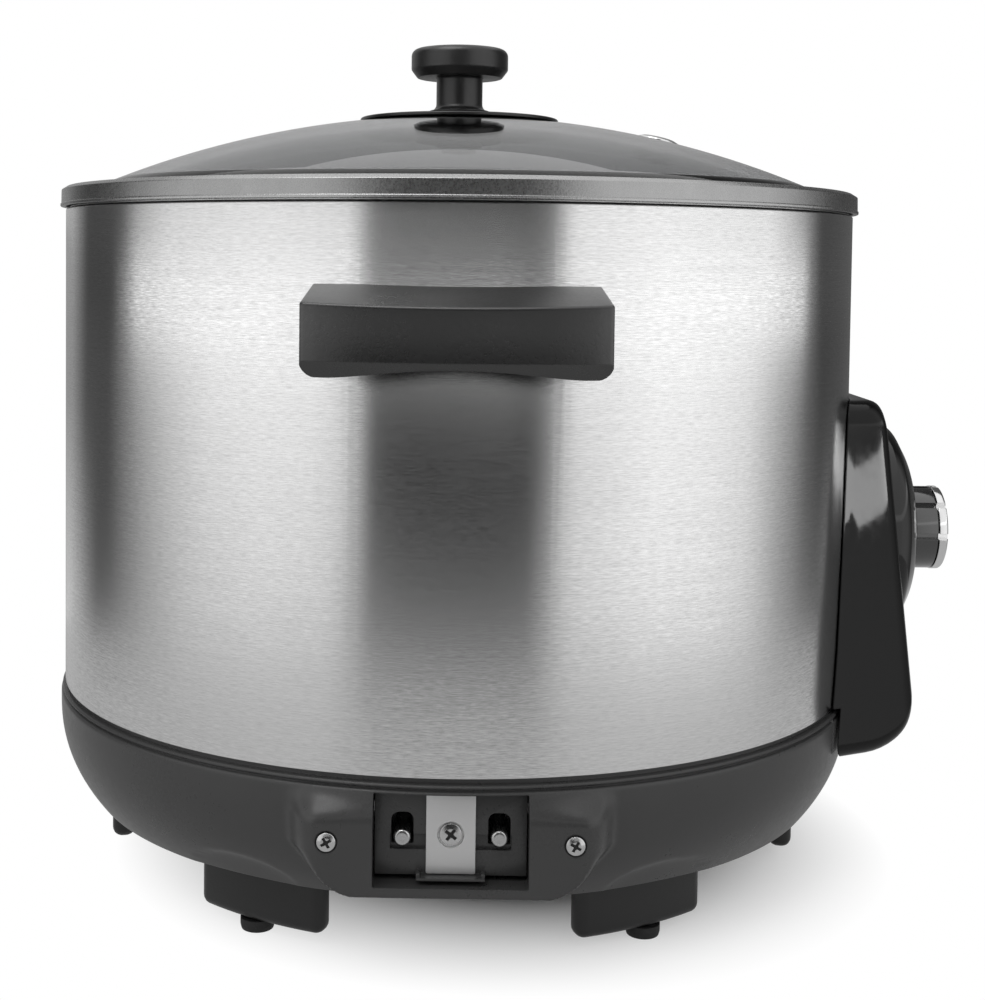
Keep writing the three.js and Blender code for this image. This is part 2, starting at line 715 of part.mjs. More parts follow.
/** A leaning box whose lower front edge is rounded far more than its upper one. */
function controlHousing() {
  const shell = loft([
    { depth: null, top: PANEL_TOP_Z, bottom: PANEL_LOW_Z, halfTop: 50, halfBottom: 66 },
    { depth: 20, top: PANEL_TOP_Z, bottom: PANEL_LOW_Z, halfTop: 45.5, halfBottom: 58 },
    { depth: 11, top: PANEL_TOP_Z, bottom: PANEL_LOW_Z + 1.2, halfTop: 43.2, halfBottom: 53.5 },
    { depth: 5.5, top: PANEL_TOP_Z - 0.2, bottom: PANEL_LOW_Z + 4.5, halfTop: 42, halfBottom: 50.5 },
    { depth: 2, top: PANEL_TOP_Z - 1.8, bottom: PANEL_LOW_Z + 8.8, halfTop: 40.4, halfBottom: 47.8 },
    { depth: 0, top: PANEL_TOP_Z - 5, bottom: PANEL_LOW_Z + 15.5, halfTop: 37, halfBottom: 43.8 },
  ].map(housingLoop));
  const wall = cylinder(WALL_R + GAP + 0.05, -1, 120);
  const baseSide = cylinder(BASE_R + 1, -40, 0);
  const behindBase = box(100, PANEL_BACK_X, -80, 80, -18, 0.4);
  const thermostatHole = revolveAlongX([[0, 130], [19, 130], [19, 170], [0, 170]], SMALL_FACETS);
  const lensHole = revolveAlongX([[0, 130], [3.8, 130], [3.8, 170], [0, 170]], SMALL_FACETS, LENS_Z);
  return cut(shell, wall, baseSide, behindBase, thermostatHole, lensHole);
}

/** The lamp's lens, a plug with a slightly domed end. */
function pilotLens() {
  return revolveAlongX([[0, 143.5], [3.5, 143.5], [3.5, 157.3], [0, 158.3]], SMALL_FACETS, LENS_Z);
}

/** The round dial boss: a flat cup on the leaning front, with a hole for the shaft. */
function controlBezel() {
  const cup = revolveAlongX([
    [29, 140],
    [38, 140],
    [38, 157, 5],
    [28, BEZEL_FACE_X, 8],
    [3.6, BEZEL_FACE_X],
    [3.6, 158.2],
    [29, 158.2],
  ], DIAL_FACETS, CONTROL_Z, 2);
  const lean = Math.atan(PANEL_LEAN);
  const front = box(-80, GAP, -60, 60, -90, 90).rotateY(-lean).translate(PANEL_TOP_X, 0, PANEL_TOP_Z);
  return cut(cup, front);
}

function bezelRing() {
  return revolveAlongX([
    [13.2, BEZEL_FACE_X + GAP],
    [15.9, BEZEL_FACE_X + GAP],
    [15.9, BEZEL_FACE_X + 1.5],
    [14.6, BEZEL_FACE_X + 2.3],
    [13.2, BEZEL_FACE_X + 2.3],
  ], DIAL_FACETS);
}

/** Turns a shape made on the knob's -Y side to one of the places round it. */
function atKnobPlace(geometry, place) {
  return geometry.rotateX(rad(KNOB_START + (place * 360) / GRIP_PLACES)).translate(0, 0, CONTROL_Z);
}

/** The bars that cut the grip grooves, at every place but the pointer's. */
function gripGrooves() {
  const places = Array.from({ length: GRIP_PLACES }, (_, i) => i).filter((i) => i !== POINTER_PLACE);
  return places.map((i) => atKnobPlace(box(160, 180, -KNOB_R - 3, 2 - KNOB_R, -1.1, 1.1), i));
}

function controlKnob() {
  const blank = revolveAlongX([
    [0, KNOB_END_X - 1],
    [11.9, KNOB_END_X - 1],
    [11.9, 173.8],
    [KNOB_R, 173.8],
    [KNOB_R, 165.4],
    [12.6, 165.4],
    [12.6, 170],
    [5.5, 170],
    [5.5, 165.4],
    [2.8, 165.4],
    [2.8, 172.5],
    [0, 172.5],
  ], DIAL_FACETS);
  const pointer = atKnobPlace(box(KNOB_END_X - 1.6, 180, -11, -4, -0.8, 0.8), POINTER_PLACE);
  return cut(blank, pointer, ...gripGrooves());
}

function knobTrim() {
  const ring = revolveAlongX([
    [12.3, 174.1],
    [KNOB_R + 0.2, 174.1],
    [KNOB_R + 0.2, KNOB_END_X - 0.6, 0.8],
    [13.2, KNOB_END_X],
    [12.3, KNOB_END_X - 0.6],
  ], DIAL_FACETS);
  return cut(ring, ...gripGrooves());
}

const knobShaft = () => revolveAlongX([[0, 144], [2.5, 144], [2.5, 172.2], [0, 172.2]], SMALL_FACETS);

/** The rotary thermostat behind the dial, with the bush that its shaft turns in. */
function thermostat() {
  return revolveAlongX([
    [2.8, 140.5],
    [15.5, 140.5],
    [15.5, 154.5],
    [5, 154.5],
    [5, 157.8],
    [2.8, 157.8],
  ], SMALL_FACETS);
}

add('control_housing', controlHousing(), GLOSS_BLACK);
add('control_bezel', controlBezel(), GLOSS_BLACK);
add('bezel_ring', bezelRing(), BRIGHT_METAL);
add('thermostat', thermostat(), ALUMINIUM);
add('knob_shaft', knobShaft(), BRIGHT_METAL);
add('control_knob', controlKnob(), GLOSS_BLACK);
add('knob_trim', knobTrim(), BRIGHT_METAL);
add('pilot_lens', pilotLens(), AMBER);

// ---- pot ----

function innerPot() {
  return revolve([
    [0, POT_LOW_Z],
    [POT_R, POT_LOW_Z, 17],
    [POT_R, POT_FLANGE_Z - 1.4],
    [POT_FLANGE_R, POT_FLANGE_Z - 1.4],
    [POT_FLANGE_R, POT_FLANGE_Z],
    [POT_R - POT_SHEET, POT_FLANGE_Z],
    [POT_R - POT_SHEET, POT_LOW_Z + 1.8, 15.5],
    [0, POT_LOW_Z + 1.8],
  ], INNER_FACETS, 2);
}

add('inner_pot', innerPot(), NON_STICK);

// ---- lid ----

/** Metal rim: a skirt outside, a channel for the glass and a lip that drops into the pot. */
function lidRim() {
  return revolve([
    [LID_R, LID_LOW_Z],
    [LID_R - 0.5, LID_TOP_Z, 2],
    [GLASS_R + 0.6, LID_TOP_Z + 0.5],
    [GLASS_R + 0.6, 167.9],
    [117.2, 167.9],
    [117.2, 160.5],
    [118.3, 160.5],
    [118.3, POT_FLANGE_Z + GAP],
    [LID_R - 2, POT_FLANGE_Z + GAP],
    [LID_R - 2, LID_LOW_Z],
  ], FACETS);
}

/** Height of the dome at a distance from the axis, outside or, with another radius, inside. */
const domeZ = (r, curve = DOME_R) => DOME_TOP_Z - DOME_R + Math.sqrt(curve ** 2 - r ** 2);

/** A spherical dome, pierced for the screw and the vent. */
function lidGlass() {
  const under = DOME_R - GLASS_SHEET;
  const rings = [4.5, 40, VENT_X, 104, GLASS_R];
  const dome = revolve([
    ...rings.map((r) => [r, domeZ(r)]),
    ...rings.map((r) => [r, domeZ(r, under)]).reverse(),
  ]);
  return cut(dome, atVent(cylinder(4.6, -20, 20, SMALL_FACETS)));
}

/** Stands a shape made round Z on the dome, square to the glass, where the vent is. */
function atVent(geometry) {
  const tilt = Math.asin(VENT_X / DOME_R);
  return geometry.rotateY(tilt).translate(VENT_X, 0, domeZ(VENT_X));
}

/** An eyelet clamped through the glass, with an open bore for the steam. */
function steamVent() {
  return atVent(revolve([
    [2.8, -5.4],
    [6.2, -5.4],
    [6.2, -4],
    [4.2, -4],
    [4.2, GAP],
    [7.8, GAP],
    [7.8, 1.3],
    [5.5, 2.2],
    [2.8, 1.6],
  ], SMALL_FACETS));
}

function lidFlange() {
  return revolve([
    [4.5, 199.3],
    [36, 197.4],
    [36, 198.7],
    [11.5, 201],
    [4.5, 201],
  ], INNER_FACETS);
}

/** A mushroom knob with a flared neck and a blind hole for its screw. */
function lidKnob() {
  return revolve([
    [0, 211.5],
    [2.3, 211.5],
    [2.3, 201.3],
    [10.9, 201.3],
    [10.9, 201.8],
    [8.4, 201.8, 2.4],
    [8.4, 213.7],
    [15.4, 213.7],
    [HANDGRIP_R, 216.6],
    [HANDGRIP_R, 224, 3],
    [0, 224.6],
  ], LID_KNOB_FACETS, 2);
}

function lidScrew() {
  return revolve([
    [0, 186.7],
    [6.9, 187.4],
    [6.9, 189.3],
    [2, 189.3],
    [2, 210.5],
    [0, 210.5],
  ], SMALL_FACETS);
}

add('lid_rim', lidRim(), GUNMETAL);
add('lid_glass', lidGlass(), SMOKED_GLASS);
add('steam_vent', steamVent(), BRIGHT_METAL);
add('lid_flange', lidFlange(), SATIN_BLACK);
add('lid_knob', lidKnob(), SATIN_BLACK);
add('lid_washer', ring(2.6, 15.7, 191.6, 194.3), RUBBER);
add('lid_spacer', ring(2.6, 8.5, 189.6, 191.3), SATIN_BLACK);
add('lid_screw', lidScrew(), BRIGHT_METAL);

// The group stands on its pads, midway between the lid's edge and the end of the knob.
cooker.position.set((LID_R - KNOB_END_X) / 2, 0, FLOOR_TO_SEAM);

export default cooker;
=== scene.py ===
"""A rice cooker's looks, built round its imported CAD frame.

Shapes are in millimetres round the cooker's own axis, with heights from the seam between the
steel wall and the base, as in the CAD model. build() turns them into metres in the row frame.
The studio and the camera are in metres.
"""

import math

import bmesh
import bpy
from mathutils import Matrix, Vector


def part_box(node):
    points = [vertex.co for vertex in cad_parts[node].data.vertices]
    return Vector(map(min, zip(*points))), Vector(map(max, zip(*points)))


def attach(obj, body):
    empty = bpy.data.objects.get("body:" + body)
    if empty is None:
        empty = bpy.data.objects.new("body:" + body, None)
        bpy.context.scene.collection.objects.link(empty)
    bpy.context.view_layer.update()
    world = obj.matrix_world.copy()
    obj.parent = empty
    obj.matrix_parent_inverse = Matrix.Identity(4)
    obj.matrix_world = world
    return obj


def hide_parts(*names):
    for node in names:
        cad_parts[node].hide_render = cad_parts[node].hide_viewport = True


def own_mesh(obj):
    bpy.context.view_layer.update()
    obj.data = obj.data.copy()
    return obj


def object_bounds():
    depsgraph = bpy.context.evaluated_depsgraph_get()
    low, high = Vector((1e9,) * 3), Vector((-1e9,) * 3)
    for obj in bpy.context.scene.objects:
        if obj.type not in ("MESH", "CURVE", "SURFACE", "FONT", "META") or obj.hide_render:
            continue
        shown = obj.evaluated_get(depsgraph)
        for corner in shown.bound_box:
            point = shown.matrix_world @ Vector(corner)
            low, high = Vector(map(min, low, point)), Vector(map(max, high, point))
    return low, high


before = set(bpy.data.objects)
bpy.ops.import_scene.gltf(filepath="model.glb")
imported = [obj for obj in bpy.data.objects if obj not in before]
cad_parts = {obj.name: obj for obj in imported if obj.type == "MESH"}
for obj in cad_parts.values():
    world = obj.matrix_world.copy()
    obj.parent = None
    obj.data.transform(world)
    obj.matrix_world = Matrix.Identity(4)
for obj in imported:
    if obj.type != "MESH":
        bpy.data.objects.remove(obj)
cad_low, cad_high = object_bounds()

MM = 0.001
wall_low, wall_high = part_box("body_wrap")
AXIS_X = (wall_low.x + wall_high.x) / 2
SEAM_Z = wall_low.z
FLOOR_Z = cad_low.z

# ---------------------------------------------------------------- dimensions
SIDES = (-1, 1)
ROUND = 192  # segments round the large pieces
FINE = 256  # segments round those that the camera sees from close by
FIT = 0.35  # gap between the wall and what is moulded round it

WALL_R = 140.0
WALL_SHEET = 0.8
WALL_TOP = 163.9

BASE_R = 141.3
BASE_LOW_Z = -38.6
BASE_CORE_R = 136.5  # inside of the base's upper part
STRAIGHT_Z = -7.0  # the bowl falls straight down to this height
BOWL_INSET = 11.4  # from the bowl's widest part in to its lower edge
FLAT_SPAN = 24  # bearing up to which the base's points are close together, for the flat boss
PLATE_SCREW_ANGLES = (60, 180, 300)
PLATE_SCREW_REACH = 122.8

INLET_FACE_Y = -143.6
INLET_HALF = 41.0
INLET_LOW_Z = -33.6
INLET_CORNER = 13.0
INLET_RUN_LOW = 1.2  # the boss runs out into the bowl over this much below it
INLET_RUN_SIDE = 12.0  # and over this much beside it
POCKET_HALF = 22.2
POCKET_LOW_Z = -30.4
POCKET_TOP_Z = -4.3
BLOCK_HALF = 21.9
BLOCK_LOW_Z = -28.9
BLOCK_TOP_Z = -4.6
BLOCK_BACK_Y = -121.0
BLOCK_FACE_Y = -136.8
TRAY_BACK_Y = -135.8
PIN_X = 13.9
PIN_Z = -17.3
PIN_R = 2.45
EARTH_SCREW_Z = -16.6
INLET_SCREW_X = 35.3
INLET_SCREW_Z = -17.4

FOOT_ANGLES = (-148.7, -90, -31.3, 31.3, 90, 148.7)  # bearings from -Y, in degrees
FOOT_R = 117.2
FOOT_HALF = 24.2
SIDE_FOOT = (123.5, 29.5)  # reach and half length of the two feet at the sides
FOOT_DEPTH = 8.0
FOOT_LOW_Z = -59.0
FOOT_TOP_Z = -36.5
PAD_REACH = 111.5
EYELID_ANGLES = (-151.4, -90, -28.6, 28.6, 90, 151.4)  # bearings of the dents over the feet
EYELID_HALF = 20.0
EYELID_HEIGHT = 8.6
EYELID_DEPTH = 1.8

HANDLE_REACH = 171.0
HANDLE_HALF = 41.9
HANDLE_LOW_Z = 115.7
HANDLE_TOP_Z = 135.0
HANDLE_CORNER = 4.6
HANDLE_SLOPE = 0.161  # the top rises towards the wall
HANDLE_SCREW_Z = 127.5
HANDLE_SCREW_ANGLE = 12.5
SCREW_HOLE_R = 2.3
ARCH_HALF = 34.0  # the arch in the handle's lower edge
ARCH_RISE = 2.6
FINGER_HALF = 37.0  # the hollow for the fingers
FINGER_TOP_Z = 132.5

CONTROL_Z = 51.5
LENS_Z = 7.5
PANEL_TOP_Z = 100.8
PANEL_LOW_Z = -16.8
PANEL_TOP_X = 147.5
PANEL_LEAN = 0.0975
PANEL_BACK_X = 126.4
PANEL_HALF_TOP = 42.0  # half widths just behind the rounded edges
PANEL_HALF_LOW = 50.5
PANEL_DEPTHS = (34, 24, 20, 17, 14, 11, 8.5, 7, 5.5, 4.2, 3, 2, 1.2, 0.6, 0.2, 0)
EDGE_DEPTH = 5.5  # how far back the panel's upper and side edges curve
LOW_EDGE_DEPTH = 20.0
BEZEL_FACE_X = 162.6
KNOB_R = 14.9
KNOB_END_X = 177.6
KNOB_START = -40  # degrees: turns the first grip place up from -Y
GRIP_PLACES = 8  # round the knob; the one that the pointer aims at has no groove
POINTER_PLACE = 2

POT_R = 122.0
POT_LOW_Z = 26.8
POT_FLANGE_R = 134.0
POT_FLANGE_Z = 166.7

LID_R = 141.9
LID_LOW_Z = 164.6
LID_TOP_Z = 171.5
DOME_R = 320.0
DOME_TOP_Z = 199.0
GLASS_R = 128.5
GLASS_SHEET = 3.5
GLASS_HOLE_R = 4.5
VENT_X = 72.4


# ---------------------------------------------------------------- outlines
def fillet(corners, steps=5):
    """Points of a closed outline through corners (a, b) or (a, b, radius)."""
    points = []
    count = len(corners)
    for i, corner in enumerate(corners):
        here = Vector(corner[:2])
        radius = corner[2] if len(corner) > 2 else 0
        back = (Vector(corners[i - 1][:2]) - here).normalized()
        ahead = (Vector(corners[(i + 1) % count][:2]) - here).normalized()
        if not radius or abs(back.dot(ahead)) > 0.9999:
            points.append(here)
            continue
        half = math.acos(max(-1, min(1, back.dot(ahead)))) / 2
        to_centre = (back + ahead).normalized() * (radius / math.sin(half))
        start = back * (radius / math.tan(half)) - to_centre
        end = ahead * (radius / math.tan(half)) - to_centre
        sweep = math.atan2(start.x * end.y - start.y * end.x, start.dot(end))
        for k in range(steps + 1):
            turn = Matrix.Rotation(sweep * k / steps, 2)
            points.append(here + to_centre + turn @ start)
    return points


def shrink(corners, inset):
    """The same counter-clockwise corners with each side moved inwards."""
    moved = []
    count = len(corners)
    for i, corner in enumerate(corners):
        here = Vector(corner[:2])
        before = (here - Vector(corners[i - 1][:2])).normalized()
        after = (Vector(corners[(i + 1) % count][:2]) - here).normalized()
        normal_before = Vector((-before.y, before.x))
        normal_after = Vector((-after.y, after.x))
        bisector = normal_before + normal_after
        here = here + bisector * (2 * inset / bisector.dot(bisector))
        radius = corner[2] if len(corner) > 2 else 0
        moved.append((here.x, here.y, max(radius - inset, 0.15) if radius else 0))
    return moved


def rectangle(x0, y0, x1, y1, radius=0.0):
    return [(x0, y0, radius), (x1, y0, radius), (x1, y1, radius), (x0, y1, radius)]


# ---------------------------------------------------------------- meshes
ALONG_Z = Matrix()
ALONG_X = Matrix(((0, 0, 1, 0), (1, 0, 0, 0), (0, 1, 0, 0), (0, 0, 0, 1)))  # (a, b) is (y, z)
ALONG_Y = Matrix(((1, 0, 0, 0), (0, 0, -1, 0), (0, 1, 0, 0), (0, 0, 0, 1)))  # (a, b) is (x, z)


def build(name, vertices, faces, place=ALONG_Z):
    """An object at the cooker's axis, from vertices in millimetres."""
    bm = bmesh.new()
    made = [bm.verts.new(place @ Vector(v)) for v in vertices]
    for face in faces:
        bm.faces.new([made[i] for i in face])
    bmesh.ops.remove_doubles(bm, verts=bm.verts, dist=1e-4)
    bmesh.ops.dissolve_degenerate(bm, edges=bm.edges, dist=1e-4)
    bmesh.ops.recalc_face_normals(bm, faces=bm.faces)
    bmesh.ops.scale(bm, vec=Vector((MM, MM, MM)), verts=bm.verts)
    mesh = bpy.data.meshes.new(name)
    bm.to_mesh(mesh)
    bm.free()
    piece = bpy.data.objects.new(name, mesh)
    piece.location = (AXIS_X, 0, SEAM_Z)
    bpy.context.scene.collection.objects.link(piece)
    return piece


def turned(name, corners, segments=ROUND, steps=4, place=ALONG_Z):
    """Turns an (r, z) profile that starts and ends on the axis, or closes on itself."""
    profile = fillet(corners, steps)
    solid_core = corners[0][0] == 0 and corners[-1][0] == 0
    vertices = []
    for r, z in profile:
        for k in range(segments):
            angle = 2 * math.pi * k / segments
            vertices.append((r * math.cos(angle), r * math.sin(angle), z))
    rows = len(profile)
    faces = []
    for row in range(rows - 1 if solid_core else rows):
        here, after = row * segments, ((row + 1) % rows) * segments
        for k in range(segments):
            n = (k + 1) % segments
            faces.append((here + k, here + n, after + n, after + k))
    return build(name, vertices, faces, place)


def cylinder(name, radius, low, high, segments=48, place=ALONG_Z):
    return turned(name, [(0, low), (radius, low), (radius, high), (0, high)], segments, place=place)


def skin(name, loops, place=ALONG_Z, closed=False):
    """Skins loops of 3-D points with the same count. It caps both ends, or if closed joins them."""
    size, count = len(loops[0]), len(loops)
    vertices = [p for loop in loops for p in loop]
    faces = []
    for row in range(count if closed else count - 1):
        here, after = row * size, ((row + 1) % count) * size
        for k in range(size):
            n = (k + 1) % size
            faces.append((here + k, here + n, after + n, after + k))
    if not closed:
        faces.append(tuple(reversed(range(size))))
        faces.append(tuple(range((count - 1) * size, count * size)))
    return build(name, vertices, faces, place)


def slab(name, corners, low, high, edge_low=0.0, edge_high=0.0, steps=4, place=ALONG_Z, lift=None):
    """Extrudes counter-clockwise corners from low to high with rounded edges. lift(x, y, t)
    raises a point: t is 0 at the bottom and 1 at the top."""
    levels = []
    for k in range(steps + 1 if edge_low else 1):
        angle = math.pi / 2 * k / steps
        levels.append((edge_low * (1 - math.sin(angle)), low + edge_low * (1 - math.cos(angle))))
    for k in range(steps + 1 if edge_high else 1):
        angle = math.pi / 2 * k / steps
        levels.append((edge_high * (1 - math.cos(angle)), high - edge_high * (1 - math.sin(angle))))
    loops = []
    for inset, z in levels:
        outline = fillet(shrink(corners, inset) if inset > 1e-6 else corners)
        t = (z - low) / (high - low)
        loops.append([(p.x, p.y, z + (lift(p.x, p.y, t) if lift else 0)) for p in outline])
    return skin(name, loops, place)


def smooth(piece, angle=35):
    mesh = piece.data
    mesh.shade_smooth()
    mesh.set_sharp_from_angle(angle=math.radians(angle))
    return piece


def rotated(piece, angle, axis="Z"):
    """Turns a piece's mesh round the cooker's axis, in degrees."""
    piece.data.transform(Matrix.Rotation(math.radians(angle), 4, axis))
    return piece


def moved(piece, x=0.0, y=0.0, z=0.0):
    piece.data.transform(Matrix.Translation(Vector((x, y, z)) * MM))
    return piece


def combine(piece, operation, tools):
    """Applies exact booleans with each tool, and removes the tools."""
    for tool in tools:
        modifier = piece.modifiers.new("cut", "BOOLEAN")
        modifier.operation = operation
        modifier.solver = "EXACT"
        modifier.object = tool
    bpy.context.view_layer.update()
    graph = bpy.context.evaluated_depsgraph_get()
    made = bpy.data.meshes.new_from_object(piece.evaluated_get(graph))
    piece.modifiers.clear()
    piece.data = made
    for tool in tools:
        bpy.data.objects.remove(tool)
    return piece


def cut(piece, *tools):
    return combine(piece, "DIFFERENCE", tools)


def join(piece, *tools):
    return combine(piece, "UNION", tools)


def common(piece, *tools):
    return combine(piece, "INTERSECT", tools)


# ---------------------------------------------------------------- materials
class Nodes:
    """A short way to write the node tree of a material or the world."""

    def __init__(self, owner, output="OutputMaterial"):
        owner.use_nodes = True
        self.tree = owner.node_tree
        self.tree.nodes.clear()
        self.output = self.add(output)

    def add(self, kind, inputs=None, **settings):
        node = self.tree.nodes.new("ShaderNode" + kind)
        for key, value in settings.items():
            setattr(node, key, value)
        for key, value in (inputs or {}).items():
            socket = node.inputs[key]
            if isinstance(value, bpy.types.NodeSocket):
                self.tree.links.new(value, socket)
            else:
                socket.default_value = value
        return node

    def math(self, operation, a, b=0.0):
        return self.add("Math", {0: a, 1: b}, operation=operation).outputs[0]

    def spread(self, value, low, high, out_low, out_high):
        """Maps low..high to out_low..out_high."""
        limits = {"From Min": low, "From Max": high, "To Min": out_low, "To Max": out_high}
        return self.add("MapRange", {"Value": value, **limits}).outputs["Result"]

    def noise(self, vector, scale, detail=2.0, roughness=0.5):
        inputs = {"Vector": vector, "Scale": scale, "Detail": detail, "Roughness": roughness}
        return self.add("TexNoise", inputs).outputs["Fac"]

    def mix(self, factor, a, b):
        node = self.add("Mix", {"Factor": factor}, data_type="RGBA")
        for value, socket in ((a, node.inputs[6]), (b, node.inputs[7])):
            if isinstance(value, bpy.types.NodeSocket):
                self.tree.links.new(value, socket)
            else:
                socket.default_value = (*value, 1)
        return node.outputs[2]

    def place(self):
        return self.add("TexCoord").outputs["Object"]

    def bumped(self, height, distance, edge):
        """The normal of a surface with rounded edges and a fine relief."""
        rounded = self.add("Bevel", {"Radius": edge}, samples=4).outputs[0]
        inputs = {"Height": height, "Strength": 1.0, "Distance": distance, "Normal": rounded}
        return self.add("Bump", inputs).outputs[0]

    def any_of(self, *rays):
        """1 for rays of any of the named kinds, 0 for others."""
        path = self.add("LightPath")
        found = path.outputs[rays[0]]
        for ray in rays[1:]:
            found = self.math("MAXIMUM", found, path.outputs[ray])
        return found

    def finish(self, shader):
        self.tree.links.new(shader.outputs[0], self.output.inputs["Surface"])


def shade(grey):
    return (grey, grey, grey)


def moulded(
    name, dark, light, roughness, texture=0.00006, grain=900.0, edge=0.0004, gloss=0.5, coat=0.0,
):
    """Moulded plastic: a fine even texture with slow variation of tone and gloss."""
    m = bpy.data.materials.new(name)
    n = Nodes(m)
    at = n.place()
    fine = n.noise(at, grain, 3.0, 0.6)
    slow = n.noise(at, 22.0, 3.0, 0.6)
    fine_gloss = n.spread(fine, 0.3, 0.7, roughness - 0.03, roughness + 0.03)
    slow_gloss = n.spread(slow, 0.3, 0.7, -0.04, 0.04)
    shader = n.add("BsdfPrincipled", {
        "Base Color": n.mix(slow, dark, light),
        "Roughness": n.math("ADD", slow_gloss, fine_gloss),
        "Specular IOR Level": gloss,
        "Normal": n.bumped(fine, texture, edge),
        "Coat Weight": coat,
        "Coat Roughness": 0.08,
    })
    n.finish(shader)
    return m


def metal(name, dark, light, roughness, grain=700.0, texture=0.00003, stretch=(1, 1, 1), edge=0.0002):
    """Plain metal with fine tone variation; stretch makes its grain directional."""
    m = bpy.data.materials.new(name)
    n = Nodes(m)
    at = n.add("Mapping", {"Vector": n.place(), "Scale": stretch}).outputs[0]
    fine = n.noise(at, grain, 3.0, 0.6)
    slow = n.noise(at, grain / 12, 2.0, 0.5)
    shader = n.add("BsdfPrincipled", {
        "Base Color": n.mix(n.math("MULTIPLY", n.math("ADD", fine, slow), 0.5), dark, light),
        "Metallic": 1.0,
        "Roughness": n.spread(fine, 0.3, 0.7, roughness - 0.05, roughness + 0.05),
        "Normal": n.bumped(fine, texture, edge),
    })
    n.finish(shader)
    return m


def brushed_round(name, dark, light, roughness, stretch=1.0, anisotropy=0.93, depth=0.000012):
    """Sheet metal brushed round the cooker's axis: long level streaks of several sizes."""
    m = bpy.data.materials.new(name)
    n = Nodes(m)
    split = n.add("SeparateXYZ", {"Vector": n.place()})
    bearing = n.math("ARCTAN2", split.outputs["Y"], split.outputs["X"])
    along = n.math("MULTIPLY", bearing, WALL_R * MM)
    layers = []
    for length, height, share in ((0.003, 0.0003, 0.62), (0.008, 0.0006, 0.2), (0.04, 0.0012, 0.18)):
        spot = n.add("CombineXYZ", {
            "X": n.math("DIVIDE", along, length * stretch),
            "Y": n.math("DIVIDE", split.outputs["Z"], height),
        })
        layers.append(n.math("MULTIPLY", n.noise(spot.outputs[0], 1.0, 2.0, 0.55), share))
    grain = n.math("ADD", n.math("ADD", layers[0], layers[1]), layers[2])
    shader = n.add("BsdfPrincipled", {
        "Base Color": n.mix(n.spread(grain, 0.35, 0.65, 0.0, 1.0), dark, light),
        "Metallic": 1.0,
        "Roughness": n.spread(grain, 0.35, 0.65, roughness + 0.05, roughness - 0.05),
        "Normal": n.add("Bump", {"Height": grain, "Strength": 1.0, "Distance": depth}).outputs[0],
        "Anisotropic": anisotropy,
        "Anisotropic Rotation": 0.25,
        "Tangent": n.add("Tangent", direction_type="RADIAL", axis="Z").outputs[0],
    })
    n.finish(shader)
    return m


def smoked_glass(name):
    """Grey glass with the slightest unevenness in its polish."""
    m = bpy.data.materials.new(name)
    n = Nodes(m)
    shader = n.add("BsdfPrincipled", {
        "Base Color": (0.335, 0.34, 0.345, 1),
        "Roughness": n.spread(n.noise(n.place(), 12.0, 1.0, 0.5), 0.3, 0.7, 0.0, 0.008),
        "IOR": 1.45,
        "Specular IOR Level": 0.2,
        "Transmission Weight": 1.0,
    })
    n.finish(shader)
    return m


STEEL = brushed_round("brushed_steel", shade(0.72), shade(0.97), 0.21)
LINER = brushed_round("liner_aluminium", shade(0.5), shade(0.62), 0.34, 2.0, 0.4)
LID_METAL = metal("lid_metal", shade(0.34), shade(0.5), 0.28, 1500.0, 0.00003)
BASE = moulded("base_plastic", shade(0.038), shade(0.047), 0.3, 0.00001, 500.0, 0.0008, 0.4)
HANDLE = moulded("handle_plastic", shade(0.008), shade(0.012), 0.3, 0.00003, 900.0, 0.0005, 0.9)
LID_BLACK = moulded("lid_plastic", shade(0.01), shade(0.014), 0.32, 0.00003, 900.0, 0.0004, 0.7)
FOOT = moulded("foot_plastic", shade(0.013), shade(0.018), 0.34, 0.00003)
GLOSS = moulded("panel_gloss", shade(0.003), shade(0.005), 0.08, 0.000004, 300.0, 0.0006, 0.25)
DIAL_PLATE = moulded(
    "dial_plate_gloss", shade(0.003), shade(0.005), 0.08, 0.000004, 300.0, 0.0003, 0.4, 0.35,
)
KNOB = moulded("knob_gloss", shade(0.006), shade(0.009), 0.16, 0.000004, 300.0, 0.0003, 1.0, 1.0)
INLET = moulded("inlet_black", shade(0.03), shade(0.042), 0.3, 0.00002)
# painted shade: near-black plastic that stands for the shade at the bottom of the screw recesses
PAINTED_RECESS_SHADE = moulded("recess_painted_shade", shade(0.006), shade(0.012), 0.5, 0.00001)
RUBBER = moulded("rubber", shade(0.014), shade(0.02), 0.6, 0.00008)
CHROME = metal("trim_chrome", shade(0.8), shade(0.9), 0.1, 900.0, 0.000004)
SCREW = metal("screw_metal", shade(0.55), shade(0.85), 0.22, 2500.0, 0.00002)
PIN = metal("contact_metal", shade(0.5), shade(0.72), 0.24, 1500.0, 0.00002, (1, 0.1, 1))
EARTH = metal("earth_metal", shade(0.84), shade(0.94), 0.58, 1300.0, 0.00002)
CAST = metal("cast_aluminium", shade(0.5), shade(0.66), 0.42, 900.0, 0.00006)
SHEET = metal("sheet_steel", shade(0.45), shade(0.6), 0.38, 600.0, 0.00003, (1, 6, 6))
COATING = moulded("pot_coating", shade(0.022), shade(0.04), 0.4, 0.00005, 1400.0)
SMOKED = smoked_glass("smoked_glass")
AMBER = moulded("lens_amber", (0.45, 0.14, 0.02), (0.62, 0.22, 0.03), 0.12, 0.000004, 300.0)


def finish_piece(piece, material, body, replaced, angle=35):
    """Shades a piece smooth, gives it its material, parents it to its body and hides the CAD parts that
    it replaces.
    """
    smooth(piece, angle)
    piece.data.materials.clear()
    piece.data.materials.append(material)
    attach(piece, body)
    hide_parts(*([replaced] if isinstance(replaced, str) else replaced))
    return piece


